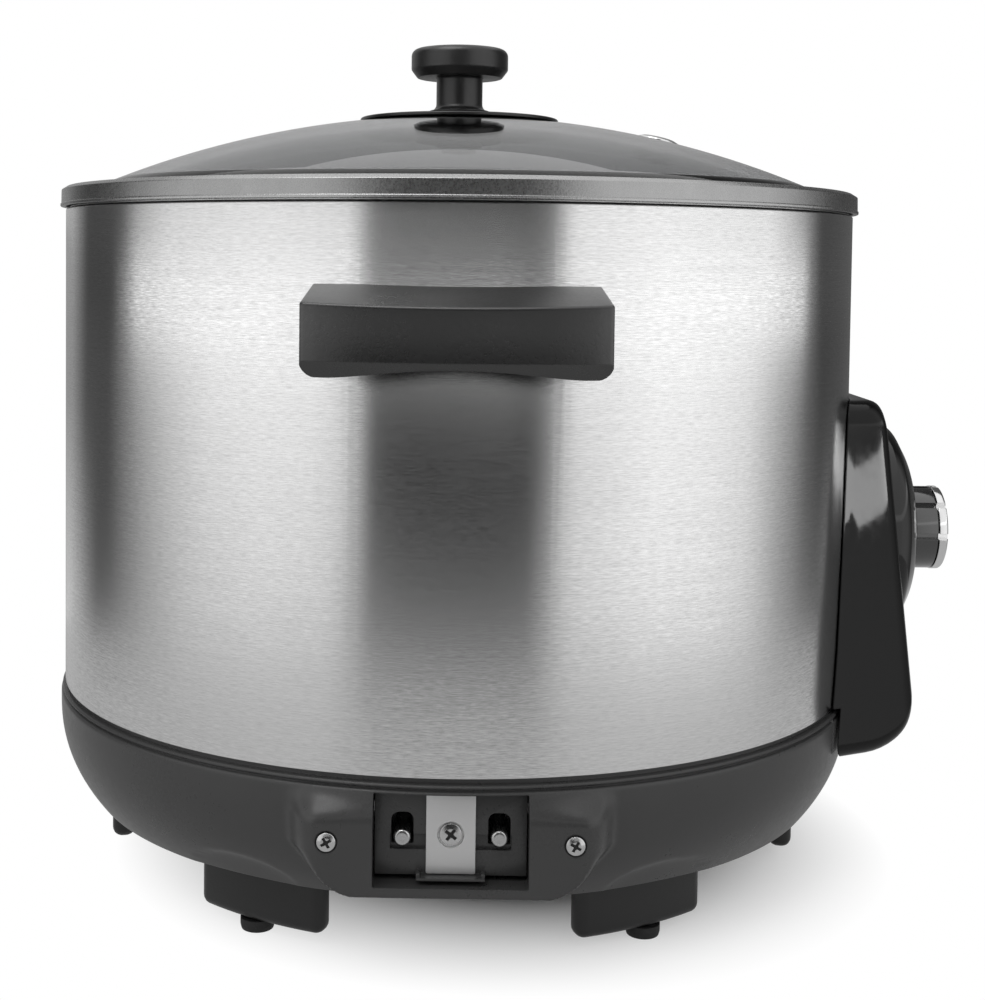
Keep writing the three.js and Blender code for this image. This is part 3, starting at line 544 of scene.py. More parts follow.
# ---------------------------------------------------------------- steel wall and what stands in it
def at_handle_screw(piece, side, turn):
    return rotated(moved(piece, z=HANDLE_SCREW_Z), side * HANDLE_SCREW_ANGLE + turn)


wall = turned("wall_sheet", [
    (WALL_R - WALL_SHEET, 0.0), (WALL_R, 0.0, 0.2), (WALL_R, WALL_TOP, 0.6), (135, WALL_TOP),
    (135, WALL_TOP - WALL_SHEET), (WALL_R - WALL_SHEET, WALL_TOP - WALL_SHEET),
], FINE)
cut(wall, *[
    at_handle_screw(cylinder("hole", SCREW_HOLE_R, 130, 150, 24, ALONG_Y), side, turn)
    for turn in (0, 180) for side in SIDES
])
finish_piece(wall, STEEL, "body", "body_wrap")

liner = turned("liner_cup", [
    (24, 2), (129.6, 2, 9), (129.6, 164.2), (138.6, 164.2, 0.2), (138.6, 165.0, 0.3),
    (128.8, 165.0, 1.2), (128.8, 2.8, 8.2), (24, 2.8),
])
finish_piece(liner, LINER, "body", "inner_liner")

hot_plate = turned("hot_plate", [
    (18, 17, 0.3), (52, 17, 1), (54, 12, 2), (70, 12, 2), (72, 17, 1), (90, 19.5, 1),
    (90, 26.4, 1.6), (86, 26.4), (85.6, 26.1), (60, 26.1), (59.6, 26.4), (18, 26.4, 0.8),
])
finish_piece(hot_plate, CAST, "body", "heating_plate")

cap = turned("sensor_button", [
    (0, 26.4), (6, 26.4), (6.4, 26.1), (13.6, 26.1), (14, 26.4), (15.4, 26.4, 1.2), (15.4, 12, 0.2),
    (13.6, 12, 0.2), (13.6, 24.6), (0, 24.6),
], 96)
finish_piece(cap, CAST, "sensor", "sensor_cap")


def coil_spring(name, reach, wire, low, high, turns):
    """A round wire wound round the axis, from low to high."""
    steps = 24 * turns
    loops = []
    for k in range(steps + 1):
        angle = 2 * math.pi * turns * k / steps
        z = low + (high - low) * k / steps
        loop = []
        for j in range(12):
            across = 2 * math.pi * j / 12
            r = reach + wire * math.cos(across)
            loop.append((r * math.cos(angle), r * math.sin(angle), z - wire * math.sin(across)))
        loops.append(loop)
    return skin(name, loops)


spring = coil_spring("sensor_coil", 11, 0.9, -4.8, 23.3, 4)
finish_piece(spring, SCREW, "body", "sensor_spring", 60)
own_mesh(spring)

cup = turned("sensor_cup", [
    (0, -7), (17.2, -7, 2), (17.2, 0.6, 0.8), (30, 0.6, 0.2), (30, 1.6, 0.2), (17.2, 1.6, 0.3),
    (17.2, 10, 0.3), (16.2, 10, 0.3), (16.2, -6, 1.5), (0, -6),
], 96)
finish_piece(cup, SHEET, "body", "sensor_bracket")

for i, angle in enumerate((0, 120, 240)):
    post = turned(f"post_{i + 1}", [(0, 3.1), (4, 3.1, 0.3), (4, 9), (3, 9.6), (3, 11.7), (0, 11.7)], 32)
    rotated(moved(post, y=-62), angle)
    finish_piece(post, SCREW, "body", f"plate_post_{i + 1}")


# ---------------------------------------------------------------- base
def smoothstep(value, low, high):
    t = min(1, max(0, (value - low) / (high - low)))
    return t * t * (3 - 2 * t)


def bowl_radius(z):
    """The bowl falls straight from its widest part, then curves in towards the feet."""
    below = max(0, STRAIGHT_Z - z) / (STRAIGHT_Z - BASE_LOW_Z)
    return BASE_R - BOWL_INSET * below ** 2.25


def boss_share(x, z):
    """How much of the flat inlet boss there is: 1 on its face, 0 out on the bowl."""
    across = max(0, abs(x) - (INLET_HALF - INLET_CORNER))
    down = max(0, INLET_LOW_Z + INLET_CORNER - z)
    outside = math.hypot(across, down) - INLET_CORNER
    sideways = across / (across + down + 1e-6)
    run_out = INLET_RUN_LOW + (INLET_RUN_SIDE - INLET_RUN_LOW) * sideways ** 2
    around = 1 - smoothstep(outside, -2.5 * sideways - 0.5, run_out)
    return around * (1 - smoothstep(z, -12, -3))


def eyelid_depth(bearing, z):
    """How deep the shallow dent over the nearest foot is."""
    nearest = min(abs((bearing - centre + 180) % 360 - 180) for centre in EYELID_ANGLES)
    across = BASE_R * math.radians(nearest) / EYELID_HALF
    up = (z - BASE_LOW_Z) / EYELID_HEIGHT
    return EYELID_DEPTH * math.sqrt(max(0, 1 - across ** 2 - up ** 2)) * (0.35 + 0.65 * up)


def base_radius(bearing, z):
    r = bowl_radius(z)
    if abs(bearing) < 40:
        to_face = -INLET_FACE_Y / math.cos(math.radians(bearing))
        share = boss_share(to_face * math.sin(math.radians(bearing)), z)
        r += (to_face - r) * share
    return r - eyelid_depth(bearing, z)


def base_bearings():
    """Bearings from -Y in degrees, close together over the boss."""
    fine = [k * 0.4 - FLAT_SPAN for k in range(120)]
    coarse = [FLAT_SPAN + k * (360 - 2 * FLAT_SPAN) / 300 for k in range(300)]
    return [(b + 180) % 360 - 180 for b in fine + coarse]


def base_loop(bearings, radius, z):
    loop = []
    for bearing in bearings:
        angle = math.radians(bearing)
        r = radius(bearing)
        loop.append((r * math.sin(angle), -r * math.cos(angle), z))
    return loop


def base_shell():
    bearings = base_bearings()
    rows = [BASE_LOW_Z + 0.35 * k for k in range(20)]
    rows += [rows[-1] + 0.75 * k for k in range(1, 38)]
    top = rows[-1]
    loops = [base_loop(bearings, lambda b, z=z: base_radius(b, z), z) for z in rows]
    for inset, rise in ((0.12, 0.3), (0.4, 0.55), (1.2, 0.7)):  # the rounded upper edge
        loops.append(base_loop(bearings, lambda b, i=inset: base_radius(b, top) - i, top + rise))
    ledge_z = top + 0.75
    inside = [
        (140.1, ledge_z), (140.1, -3.0), (140.5, -2.8), (140.9, -2.5), (140.9, -2.2), (140.5, -1.8),
        (139.6, -1.6), (138.9, -1.6), (138.9, 6), (BASE_CORE_R, 6), (BASE_CORE_R, -14),
        (129.4, -32.2), (119.5, -32.2), (119.5, -34.4), (129.6, -34.4), (128.7, -36.8),
        (126.0, BASE_LOW_Z),
    ]
    loops += [base_loop(bearings, lambda b, r=r: r, z) for r, z in inside]
    return skin("base_shell", loops, closed=True)


def shoulder():
    """The flat on the base behind the control panel."""
    corners = rectangle(-64.5, PANEL_LOW_Z + 1.3, 64.5, -2.3, 3)
    block = slab("shoulder", corners, 112, PANEL_BACK_X - 0.3, 0, 0.8, 3, ALONG_X)
    return cut(block, cylinder("core", BASE_CORE_R, -30, 10, 128))


def inlet_screw_hole(side):
    hole = turned("hole", [
        (0, -9), (1.8, -9), (1.8, -0.9), (3.0, -0.7), (3.3, 0.1), (3.3, 3), (0, 3),
    ], 48, place=ALONG_Y)
    return moved(hole, x=side * INLET_SCREW_X, y=INLET_FACE_Y, z=INLET_SCREW_Z)


base = join(base_shell(), shoulder())
pocket = rectangle(-POCKET_HALF, POCKET_LOW_Z, POCKET_HALF, POCKET_TOP_Z, 0.6)
cut(base, slab("pocket", pocket, 100, 160, place=ALONG_Y), *[inlet_screw_hole(side) for side in SIDES])
finish_piece(base, BASE, "body", "base_housing", 32)

plate = turned("plate_sheet", [
    (0, -36.2), (126.5, -36.2), (128, -35.4, 0.5), (128, -34.8), (0, -34.8),
])
slots = [(34, 66, 45 * k) for k in range(8)] + [(48, 72, 45 * k + 22.5) for k in range(8)]
cut(plate, *[
    rotated(slab("slot", rectangle(-2.5, start, 2.5, end, 2.4), -40, -30), angle)
    for start, end, angle in slots
])
finish_piece(plate, SHEET, "body", "bottom_plate")

for i, angle in enumerate(PLATE_SCREW_ANGLES):
    screw = turned(f"plate_screw_head_{i + 1}", [
        (0, -38.4), (2.4, -38.4, 1), (3.8, -37.4, 0.4), (3.8, -36.5), (1.8, -36.5), (1.8, -30), (0, -30),
    ], 48)
    cut(screw, *[
        slab("bar", rectangle(-a, -b, a, b), -39, -37.3) for a, b in ((2.2, 0.45), (0.45, 2.2))
    ])
    rotated(moved(screw, y=-PLATE_SCREW_REACH), angle)
    finish_piece(screw, SCREW, "body", f"plate_screw_{i + 1}")


def foot_block(name, pad_x, reach, half):
    """A bar that follows a circle, with a round boss behind it for the pad."""
    span = math.asin(half / reach)
    turns = [span * k / 6 for k in range(-6, 7)]
    back = reach - FOOT_DEPTH
    outer = [(reach * math.sin(t), -reach * math.cos(t)) for t in turns]
    inner = [(back * math.sin(t), -back * math.cos(t)) for t in reversed(turns)]
    for row in (outer, inner):
        row[0] = (*row[0], 3.4)
        row[-1] = (*row[-1], 3.4)
    bar = slab(name, outer + inner, FOOT_LOW_Z, FOOT_TOP_Z, 3.1, 0.3, 5)
    boss = turned("boss", [(0, -58.4), (8, -58.4, 1.2), (8, FOOT_TOP_Z), (0, FOOT_TOP_Z)], 48)
    stem_hole = cylinder("hole", 2.8, -64, -52.7)
    moved(boss, x=pad_x, y=2.5 - PAD_REACH)
    moved(stem_hole, x=pad_x, y=-PAD_REACH)
    return cut(join(bar, boss), stem_hole)


for i, angle in enumerate(FOOT_ANGLES):
    pad_x = 3 * round(math.sin(math.radians(2 * angle)))
    reach, half = SIDE_FOOT if abs(angle) == 90 else (FOOT_R, FOOT_HALF)
    block = rotated(foot_block(f"foot_block_{i + 1}", pad_x, reach, half), angle)
    finish_piece(block, FOOT, "body", f"foot_{i + 1}", 40)
    pad = turned(f"pad_{i + 1}", [
        (0, -63), (5.0, -63, 0.5), (5.4, -61.4, 0.6), (5.4, -59.3), (2.5, -59.3), (2.5, -53), (0, -53),
    ], 64)
    rotated(moved(pad, x=pad_x, y=-PAD_REACH), angle)
    finish_piece(pad, RUBBER, "body", f"foot_pad_{i + 1}")


# ---------------------------------------------------------------- mains inlet
def inlet_insert():
    """The moulded insert: each pin stands in a window with a rounded top, over a shallow slot."""
    corners = rectangle(-BLOCK_HALF, BLOCK_LOW_Z, BLOCK_HALF, BLOCK_TOP_Z, 0.5)
    block = slab("inlet_insert", corners, -BLOCK_BACK_Y, -BLOCK_FACE_Y, 0, 0.3, 2, ALONG_Y)
    tools = [moved(cylinder("screw_bore", 1.9, 127, 140, 32, ALONG_Y), z=EARTH_SCREW_Z)]
    hooks = []
    for side in SIDES:
        x = side * PIN_X
        left, right = x - 3.2, x + 3.2
        window = [(left, -20.2, 0.4), (right, -20.2, 0.4), (right, -10.6, 2.2), (left, -10.6, 2.2)]
        near, far = sorted((side * 6, side * 17.4))
        tools.append(slab("window", window, 124, 140, place=ALONG_Y))
        tools.append(slab("step", rectangle(near, -21.4, far, -17, 0.4), 135.2, 140, place=ALONG_Y))
        tools.append(moved(cylinder("pin_bore", PIN_R + 0.3, 110, 140, 48, ALONG_Y), x=x, z=PIN_Z))
        hook = rectangle(side * 9.3 - 0.6, BLOCK_LOW_Z, side * 9.3 + 0.6, -27.2, 0.3)
        hooks.append(slab("hook", hook, -TRAY_BACK_Y, 140.6, 0, 0.3, 2, ALONG_Y))
    tray = rectangle(-9.8, BLOCK_LOW_Z, 9.8, -28.2, 0.2)
    tray = slab("tray", tray, -TRAY_BACK_Y, 141.4, place=ALONG_Y)
    return join(cut(block, *tools), tray, *hooks)


finish_piece(inlet_insert(), INLET, "body", "inlet_block")

for side, name in zip(SIDES, ("live", "neutral")):
    pin = turned(f"{name}_contact", [
        (0, 118.1), (PIN_R, 118.1), (PIN_R, 139.6, 0.9), (1.2, 139.6), (0, 139.5),
    ], 64, place=ALONG_Y)
    moved(pin, x=side * PIN_X, z=PIN_Z)
    finish_piece(pin, PIN, "body", f"{name}_pin")

strip = rectangle(-7.1, -28.0, 7.1, BLOCK_TOP_Z, 0.5)
strip = slab("earth_strip", strip, 137.1, 138.3, 0.1, 0.25, 3, ALONG_Y)
sink = turned("sink", [
    (0, 130), (1.9, 130), (1.9, 137.2), (3.7, 137.5), (3.9, 138.4), (3.9, 140), (0, 140),
], 64, place=ALONG_Y)
cut(strip, moved(sink, z=EARTH_SCREW_Z))
finish_piece(strip, EARTH, "body", "earth_plate")


def cross(arm, half, low, high):
    """A cross-head recess as a solid, with its arms widening into the middle."""
    level = slab("cross", rectangle(-arm, -half, arm, half), low, high, place=ALONG_Y)
    upright = slab("bar", rectangle(-half, -arm, half, arm), low, high, place=ALONG_Y)
    heart = [(0, -half * 2.4), (half * 2.4, 0), (0, half * 2.4), (-half * 2.4, 0)]
    return join(level, upright, slab("heart", heart, low, high, place=ALONG_Y))


def phillips(name, replaced, head_r, rise, shank_r, length, turn, x, y, z):
    """A cross-head screw along -Y with its head's underside at y. Its recess bottom is painted shade: a
    near-black piece that stands for the shade in the cross.
    """
    head = turned(f"{name}_head", [
        (0, -length), (shank_r, -length), (shank_r, 0), (head_r, 0, 0.1),
        (head_r, rise * 0.45, rise * 0.3), (head_r * 0.55, rise, rise), (0, rise * 1.05),
    ], 48, 5, ALONG_Y)
    arm, half = head_r * 0.6, head_r * 0.15
    cut(head, cross(arm, half, rise - 0.9, rise + 1))
    # painted shade: a thin near-black cross in the recess bottom, where there is only shade
    bottom = cross(arm - 0.02, half - 0.02, rise - 0.88, rise - 0.3)
    bottom.name = f"{name}_recess"
    for piece, material in ((head, SCREW), (bottom, PAINTED_RECESS_SHADE)):
        moved(rotated(piece, turn, "Y"), x, y, z)
        finish_piece(piece, material, "body", replaced)


phillips("earth_screw", "earth_screw", 3.2, 0.75, 1.6, 8.5, 38, 0, -137.7, EARTH_SCREW_Z)
for side, name in zip(SIDES, ("left", "right")):
    phillips(
        f"inlet_screw_{name}", f"inlet_screw_{name}", 2.75, 1.0, 1.5, 8.0, 30 * side,
        side * INLET_SCREW_X, INLET_FACE_Y + 0.3, INLET_SCREW_Z,
    )


# ---------------------------------------------------------------- handles
def handle_lift(x, y, t):
    """The top rises from the front to the wall."""
    return t * (HANDLE_REACH + y) * HANDLE_SLOPE


def handle(name):
    """A ledge with an arched lower edge, a hollow for the fingers and two screw holes."""
    front = []
    for k in range(-8, 9):
        x = HANDLE_HALF * k / 8
        front.append((x, -math.sqrt(HANDLE_REACH ** 2 - x * x), 1.6 if abs(k) == 8 else 0))
    plan = front + [(HANDLE_HALF - 0.9, -137), (0.9 - HANDLE_HALF, -137)]
    body = slab(name, plan, HANDLE_LOW_Z, HANDLE_TOP_Z, 0.8, 0.8, 4, lift=handle_lift)
    half, low = HANDLE_HALF + 0.1, HANDLE_LOW_Z - 0.1
    face = [(-half, low, HANDLE_CORNER), (half, low, HANDLE_CORNER), (half, 150), (-half, 150)]
    common(body, slab("face", face, 120, 180, place=ALONG_Y))
    low_edge = turned("low_edge", [
        (166, 100), (190, 100), (190, HANDLE_LOW_Z + 4.7), (HANDLE_REACH, HANDLE_LOW_Z + 4.7, 1.2),
        (166.8, HANDLE_LOW_Z - 0.7),
    ], FINE)
    fingers = turned("fingers", [
        (143.8, 90), (166.6, 90), (166.6, FINGER_TOP_Z, 1.5), (143.8, FINGER_TOP_Z, 1.5),
    ], FINE)
    common(fingers, slab("span", rectangle(-FINGER_HALF, -180, FINGER_HALF, -100), 80, 150))
    arch = [(-ARCH_HALF, 90), (ARCH_HALF, 90)]
    for k in range(8, -9, -1):
        arch.append((ARCH_HALF * k / 8, HANDLE_LOW_Z + ARCH_RISE * (1 - (k / 8) ** 2) ** 1.5))
    cut(body, low_edge, slab("arch", arch, 120, 180, place=ALONG_Y), fingers)
    bosses, holes = [], []
    for side in SIDES:
        boss = cylinder("boss", 4.2, WALL_R + 2.8, 149, 32, ALONG_Y)
        hole = cylinder("hole", SCREW_HOLE_R, 130, 147.8, 24, ALONG_Y)
        bosses.append(at_handle_screw(boss, side, 0))
        holes.append(at_handle_screw(hole, side, 0))
    join(body, *bosses)
    return cut(body, cylinder("wall_core", WALL_R + FIT, 90, 150, FINE), *holes)


for turn, name in ((0, "near"), (180, "far")):
    grip = rotated(handle(f"grip_{name}"), turn)
    finish_piece(grip, HANDLE, "body", f"handle_{name}", 30)


# ---------------------------------------------------------------- control panel
def panel_front(z):
    return PANEL_TOP_X + (PANEL_TOP_Z - z) * PANEL_LEAN


def rounding(depth, reach):
    """How far an edge has curved away at a depth behind the front: 1 at the front, 0 past reach."""
    return 1 - math.sqrt(1 - max(0, 1 - depth / reach) ** 2)


def panel_loop(depth):
    """One loop round the housing. Its lower front edge is rounded far more than its upper one."""
    edge = rounding(depth, EDGE_DEPTH)
    behind = depth - EDGE_DEPTH
    top = PANEL_TOP_Z - 5 * edge
    bottom = PANEL_LOW_Z + 15.5 * rounding(depth, LOW_EDGE_DEPTH)
    half_top = PANEL_HALF_TOP + behind * 0.24 - 4 * edge
    half_low = PANEL_HALF_LOW + behind * 0.52 - 4 * edge
    corners = [(-half_low, bottom, 5), (half_low, bottom, 5), (half_top, top, 9), (-half_top, top, 9)]
    return [(panel_front(p.y) - depth, p.x, p.y) for p in fillet(corners, 10)]


panel = skin("panel_shell", [panel_loop(depth) for depth in PANEL_DEPTHS])
CONTROL = Matrix.Translation((0, 0, CONTROL_Z)) @ ALONG_X
LENS = Matrix.Translation((0, 0, LENS_Z)) @ ALONG_X
cut(
    panel,
    cylinder("wall_core", WALL_R + FIT, -1, 120, FINE),
    cylinder("base_core", BASE_R + 1, -40, 0, FINE),
    slab("behind", rectangle(100, -80, PANEL_BACK_X, 80), -18, 0.4),
    cylinder("thermostat_hole", 19, 130, 170, 64, CONTROL),
    cylinder("lens_hole", 3.8, 130, 170, 48, LENS),
)
finish_piece(panel, GLOSS, "body", "control_housing", 30)

bezel = turned("bezel_cup", [
    (29, 140), (38, 140), (38, 157, 5), (28, BEZEL_FACE_X, 10), (3.6, BEZEL_FACE_X, 0.3),
    (3.6, 158.2), (29, 158.2),
], 128, 8, CONTROL)
lean = slab("lean", rectangle(-80, -60, 0.3, 60), -90, 90)
rotated(lean, -math.degrees(math.atan(PANEL_LEAN)), "Y")
cut(bezel, moved(lean, x=PANEL_TOP_X, z=PANEL_TOP_Z))
finish_piece(bezel, DIAL_PLATE, "body", "control_bezel", 30)

ring = turned("dial_ring", [
    (13.2, 162.9), (15.9, 162.9), (15.9, 164.2, 0.6), (14.6, 164.9, 0.5), (13.2, 164.9),
], 96, 4, CONTROL)
finish_piece(ring, CHROME, "body", "bezel_ring")


def at_knob_place(piece, place):
    """Turns a piece made on the knob's -Y side to one of the places round it."""
    return moved(rotated(piece, place * 360 / GRIP_PLACES + KNOB_START, "X"), z=CONTROL_Z)


def grip_grooves():
    places = [k for k in range(GRIP_PLACES) if k != POINTER_PLACE]
    groove = rectangle(160, -KNOB_R - 3, 180, 2 - KNOB_R)
    return [at_knob_place(slab("bar", groove, -1.1, 1.1), k) for k in places]


knob = turned("dial_knob", [
    (0, 176.6), (11.0, 176.6, 0.8), (11.9, 176.0), (11.9, 173.8), (KNOB_R, 173.8, 0.3),
    (KNOB_R, 165.4, 0.7), (12.6, 165.4, 0.3), (12.6, 170), (5.5, 170), (5.5, 165.4), (2.8, 165.4),
    (2.8, 172.5), (0, 172.5),
], 128, 4, CONTROL)
pointer = at_knob_place(slab("pointer", rectangle(176, -11, 180, -4), -0.8, 0.8), POINTER_PLACE)
cut(knob, pointer, *grip_grooves())
finish_piece(knob, KNOB, "dial", "control_knob", 30)

trim = turned("dial_trim", [
    (12.3, 174.1), (15.1, 174.1, 0.2), (15.1, 177.0, 0.9), (13.2, KNOB_END_X, 0.5), (12.3, 177.0, 0.2),
], 128, 5, CONTROL)
cut(trim, *grip_grooves())
finish_piece(trim, CHROME, "dial", "knob_trim", 30)

lens = turned("lamp_lens", [(0, 143.5), (3.5, 143.5), (3.5, 157.4, 0.8), (0, 158.3)], 48, 4, LENS)
finish_piece(lens, AMBER, "body", "pilot_lens")


# ---------------------------------------------------------------- pot
pot = turned("pot_shell", [
    (0, POT_LOW_Z), (POT_R, POT_LOW_Z, 17), (POT_R, POT_FLANGE_Z - 1.4, 0.8),
    (POT_FLANGE_R, POT_FLANGE_Z - 1.4, 0.3), (POT_FLANGE_R, POT_FLANGE_Z, 0.6),
    (POT_R - 1.6, POT_FLANGE_Z, 1.2), (POT_R - 1.6, POT_LOW_Z + 1.8, 15.5), (0, POT_LOW_Z + 1.8),
], ROUND, 10)
finish_piece(pot, COATING, "pot", "inner_pot")


# ---------------------------------------------------------------- lid
rim = turned("lid_band", [
    (LID_R, LID_LOW_Z, 0.3), (LID_R, LID_LOW_Z + 0.9, 0.15), (141.6, LID_LOW_Z + 1.1, 0.1),
    (141.5, 170.3, 0.4), (139.6, LID_TOP_Z, 0.6), (129.3, 171.9, 0.4), (129.1, 167.9),
    (117.2, 167.9, 0.3), (117.2, 160.5, 0.4), (118.3, 160.5, 0.4), (118.3, 167.0, 0.3),
    (139.9, 167.0, 0.4), (139.9, LID_LOW_Z, 0.3),
], FINE, 4)
finish_piece(rim, LID_METAL, "lid", "lid_rim", 40)


def dome_z(r, curve=DOME_R):
    """Height of the glass at a radius: of its outside, or with a smaller curve its inside."""
    return DOME_TOP_Z - DOME_R + math.sqrt(curve * curve - r * r)


rings = [GLASS_HOLE_R + (GLASS_R - 0.6 - GLASS_HOLE_R) * k / 26 for k in range(27)]
dome = turned("glass_dome", [
    *[(r, dome_z(r)) for r in rings],
    (GLASS_R, dome_z(GLASS_R) - 0.5), (GLASS_R, dome_z(GLASS_R, DOME_R - GLASS_SHEET) + 0.5),
    *[(r, dome_z(r, DOME_R - GLASS_SHEET)) for r in reversed(rings)],
], FINE, 6)
tilt = math.degrees(math.asin(VENT_X / DOME_R))


def at_vent(piece):
    rotated(piece, tilt, "Y")
    return moved(piece, x=VENT_X, z=dome_z(VENT_X))


cut(dome, at_vent(cylinder("vent_hole", 4.6, -20, 20)))
finish_piece(dome, SMOKED, "lid", "lid_glass")

vent = at_vent(turned("vent_eyelet", [
    (2.8, -5.4, 0.2), (6.2, -5.4, 0.5), (6.2, -4, 0.2), (4.2, -4), (4.2, 0.3), (7.8, 0.3, 0.2),
    (7.8, 1.3, 0.6), (5.5, 2.2, 0.8), (2.8, 1.6, 0.5),
], 64, 4))
finish_piece(vent, CHROME, "lid", "steam_vent")

flange = turned("knob_flange", [
    (4.5, 199.3), (35.6, 197.4), (36, 197.6, 0.2), (36, 198.7, 0.5), (27, 199.5, 14), (11.5, 201, 6),
    (4.5, 201),
], 128, 6)
finish_piece(flange, LID_BLACK, "lid", "lid_flange")

grip = turned("lid_grip", [
    (0, 211.5), (2.3, 211.5), (2.3, 201.3), (10.9, 201.3, 0.2), (10.9, 201.8, 0.2),
    (8.4, 201.8, 2.4), (8.4, 213.7, 0.8), (15.4, 213.7, 0.8), (17.6, 216.6, 1.6), (17.6, 224, 2.6),
    (0, 224.6),
], 128, 6)
finish_piece(grip, LID_BLACK, "lid", "lid_knob")

washer = turned("seal_washer", [(2.6, 191.6), (15.7, 191.6, 0.5), (15.7, 194.3, 0.5), (2.6, 194.3)], 96)
finish_piece(washer, RUBBER, "lid", "lid_washer")
spacer = turned("screw_boss", [(2.6, 189.6), (8.5, 189.6, 0.4), (8.5, 191.3, 0.4), (2.6, 191.3)], 64)
finish_piece(spacer, LID_BLACK, "lid", "lid_spacer")
screw = turned("lid_screw_head", [
    (0, 186.7), (6.9, 187.4, 1.2), (6.9, 189.3, 0.3), (2, 189.3), (2, 210.5), (0, 210.5),
], 64)
finish_piece(screw, SCREW, "lid", "lid_screw")


# ---------------------------------------------------------------- CAD pieces kept as they are
KEPT = {"thermal_fuse": SCREW, "fuse_clip": SHEET, "thermostat": CAST, "knob_shaft": SCREW}
KEPT.update({f"handle_screw_{number}": SCREW for number in (1, 2, 3, 4)})
for name, kept_material in KEPT.items():
    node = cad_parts[name]
    node.data.materials.clear()
    node.data.materials.append(kept_material)


# ---------------------------------------------------------------- studio
FLOOR_HALF = 6.0
FLOOR_FADE = (0.07, 0.14)  # distances from the middle, between which the floor turns white
FLOOR_SHINE = 0.45  # how bright the white floor is in reflections
WHITE = (1, 1, 1, 1)


def floor_material():
    """A pale floor that keeps the shadow near the object, and fades to the white background."""
    m = bpy.data.materials.new("pale_floor")
    n = Nodes(m)
    at = n.place()
    distance = n.add("VectorMath", {0: at}, operation="LENGTH").outputs["Value"]
    fade = n.spread(distance, *FLOOR_FADE, 0.0, 1.0)
    seen = n.any_of("Is Camera Ray", "Is Transmission Ray", "Is Glossy Ray")
    strength = n.spread(n.any_of("Is Glossy Ray"), 0.0, 1.0, 1.0, FLOOR_SHINE)
    colour = n.mix(n.noise(at, 300.0), shade(0.83), shade(0.85))
    matt = n.add("BsdfDiffuse", {"Color": colour, "Roughness": 0.5}).outputs[0]
    white = n.add("Emission", {"Color": WHITE, "Strength": strength}).outputs[0]
    n.finish(n.add("MixShader", {"Fac": n.math("MULTIPLY", fade, seen), 1: matt, 2: white}))
    return m


def stage_floor():
    mesh = bpy.data.meshes.new("floor")
    h = FLOOR_HALF
    mesh.from_pydata([(-h, -h, 0), (h, -h, 0), (h, h, 0), (-h, h, 0)], [], [(0, 1, 2, 3)])
    mesh.materials.append(floor_material())
    plane = bpy.data.objects.new("floor", mesh)
    plane.location = (0, 0, FLOOR_Z)
    bpy.context.scene.collection.objects.link(plane)


stage_floor()

# What the gloss mirrors: a strip round the cooker with two wide windows, the gap where the camera
# stands between them, and dark ends. Each stop is a bearing from -Y in degrees, and a tone.
STRIP_REACH = 0.4
STRIP_LOW_Z = FLOOR_Z + 0.001
STRIP_TOP_Z = 0.6
STRIP_LOW = (
    (-180, 0.5), (-130, 0.6), (-116, 0.4), (-104, 0.08), (-96, 0.1), (-86, 0.24), (-64, 0.6),
    (-44, 0.76), (-28, 0.68), (-18, 0.14), (-8, 0.08), (8, 0.08), (16, 0.12), (24, 0.7), (44, 0.98),
    (60, 0.96), (72, 0.74), (86, 0.32), (97, 0.16), (106, 0.12), (118, 0.4), (140, 0.7), (180, 0.5),
)
STRIP_MIDDLE = (
    (-180, 0.3), (-125, 0.28), (-111, 0.07), (-96, 0.07), (-86, 0.24), (-72, 0.56), (-58, 0.82),
    (-45, 0.88), (-32, 0.84), (-23, 0.65), (-18, 0.03), (-12, 0.0), (10, 0.0), (16, 0.0), (20, 0.12),
    (26, 0.74), (46, 0.98), (60, 0.92), (72, 0.8), (84, 0.42), (97, 0.12), (106, 0.05), (140, 0.1),
    (160, 0.3), (180, 0.3),
)
STRIP_HIGH = (
    (-180, 0.3), (-125, 0.3), (-111, 0.05), (-94, 0.05), (-88, 0.45), (-83, 1.3), (-66, 1.42),
    (-45, 1.5), (-30, 1.42), (-21, 1.3), (-18, 0.7), (-13, 0.75), (10, 0.95), (17, 0.7), (19, 0.75),
    (24, 1.3), (48, 1.45), (72, 1.4), (86, 1.4), (94, 1.2), (98, 0.3), (104, 0.07), (140, 0.1),
    (160, 0.3), (180, 0.3),
)
STRIP_TOP = (
    (-180, 0.5), (-125, 0.4), (-111, 0.06), (-90, 0.08), (-82, 0.4), (-72, 0.7), (-45, 0.8),
    (-24, 0.7), (-19, 0.1), (-12, 0.05), (15, 0.05), (21, 0.1), (26, 0.85), (48, 0.95), (80, 0.85),
    (95, 0.3), (104, 0.06), (140, 0.1), (160, 0.4), (180, 0.5),
)
# Above the low tones the others blend in, each between two heights over the seam.
STRIP_BLENDS = ((-0.06, 0.07, STRIP_MIDDLE), (0.124, 0.142, STRIP_HIGH), (0.164, 0.174, STRIP_TOP))


def reflector(name, start, end, low, high, reach, material):
    """Part of a ring round the cooker, in degrees and metres, which only glossy surfaces see."""
    columns = max(1, round((end - start) / 3))
    vertices = []
    for k in range(columns + 1):
        angle = math.radians(start + (end - start) * k / columns)
        x, y = AXIS_X + reach * math.sin(angle), -reach * math.cos(angle)
        vertices += [(x, y, low), (x, y, high)]
    faces = [(2 * k, 2 * k + 2, 2 * k + 3, 2 * k + 1) for k in range(columns)]
    mesh = bpy.data.meshes.new(name)
    mesh.from_pydata(vertices, [], faces)
    uv = mesh.uv_layers.new(name="UVMap")
    for loop in mesh.loops:
        column, top = divmod(loop.vertex_index, 2)
        uv.data[loop.index].uv = (column / columns, top)
    mesh.materials.append(material)
    board = bpy.data.objects.new(name, mesh)
    bpy.context.scene.collection.objects.link(board)
    board.visible_camera = False
    board.visible_diffuse = False
    board.visible_shadow = False
    board.visible_transmission = False
    return board


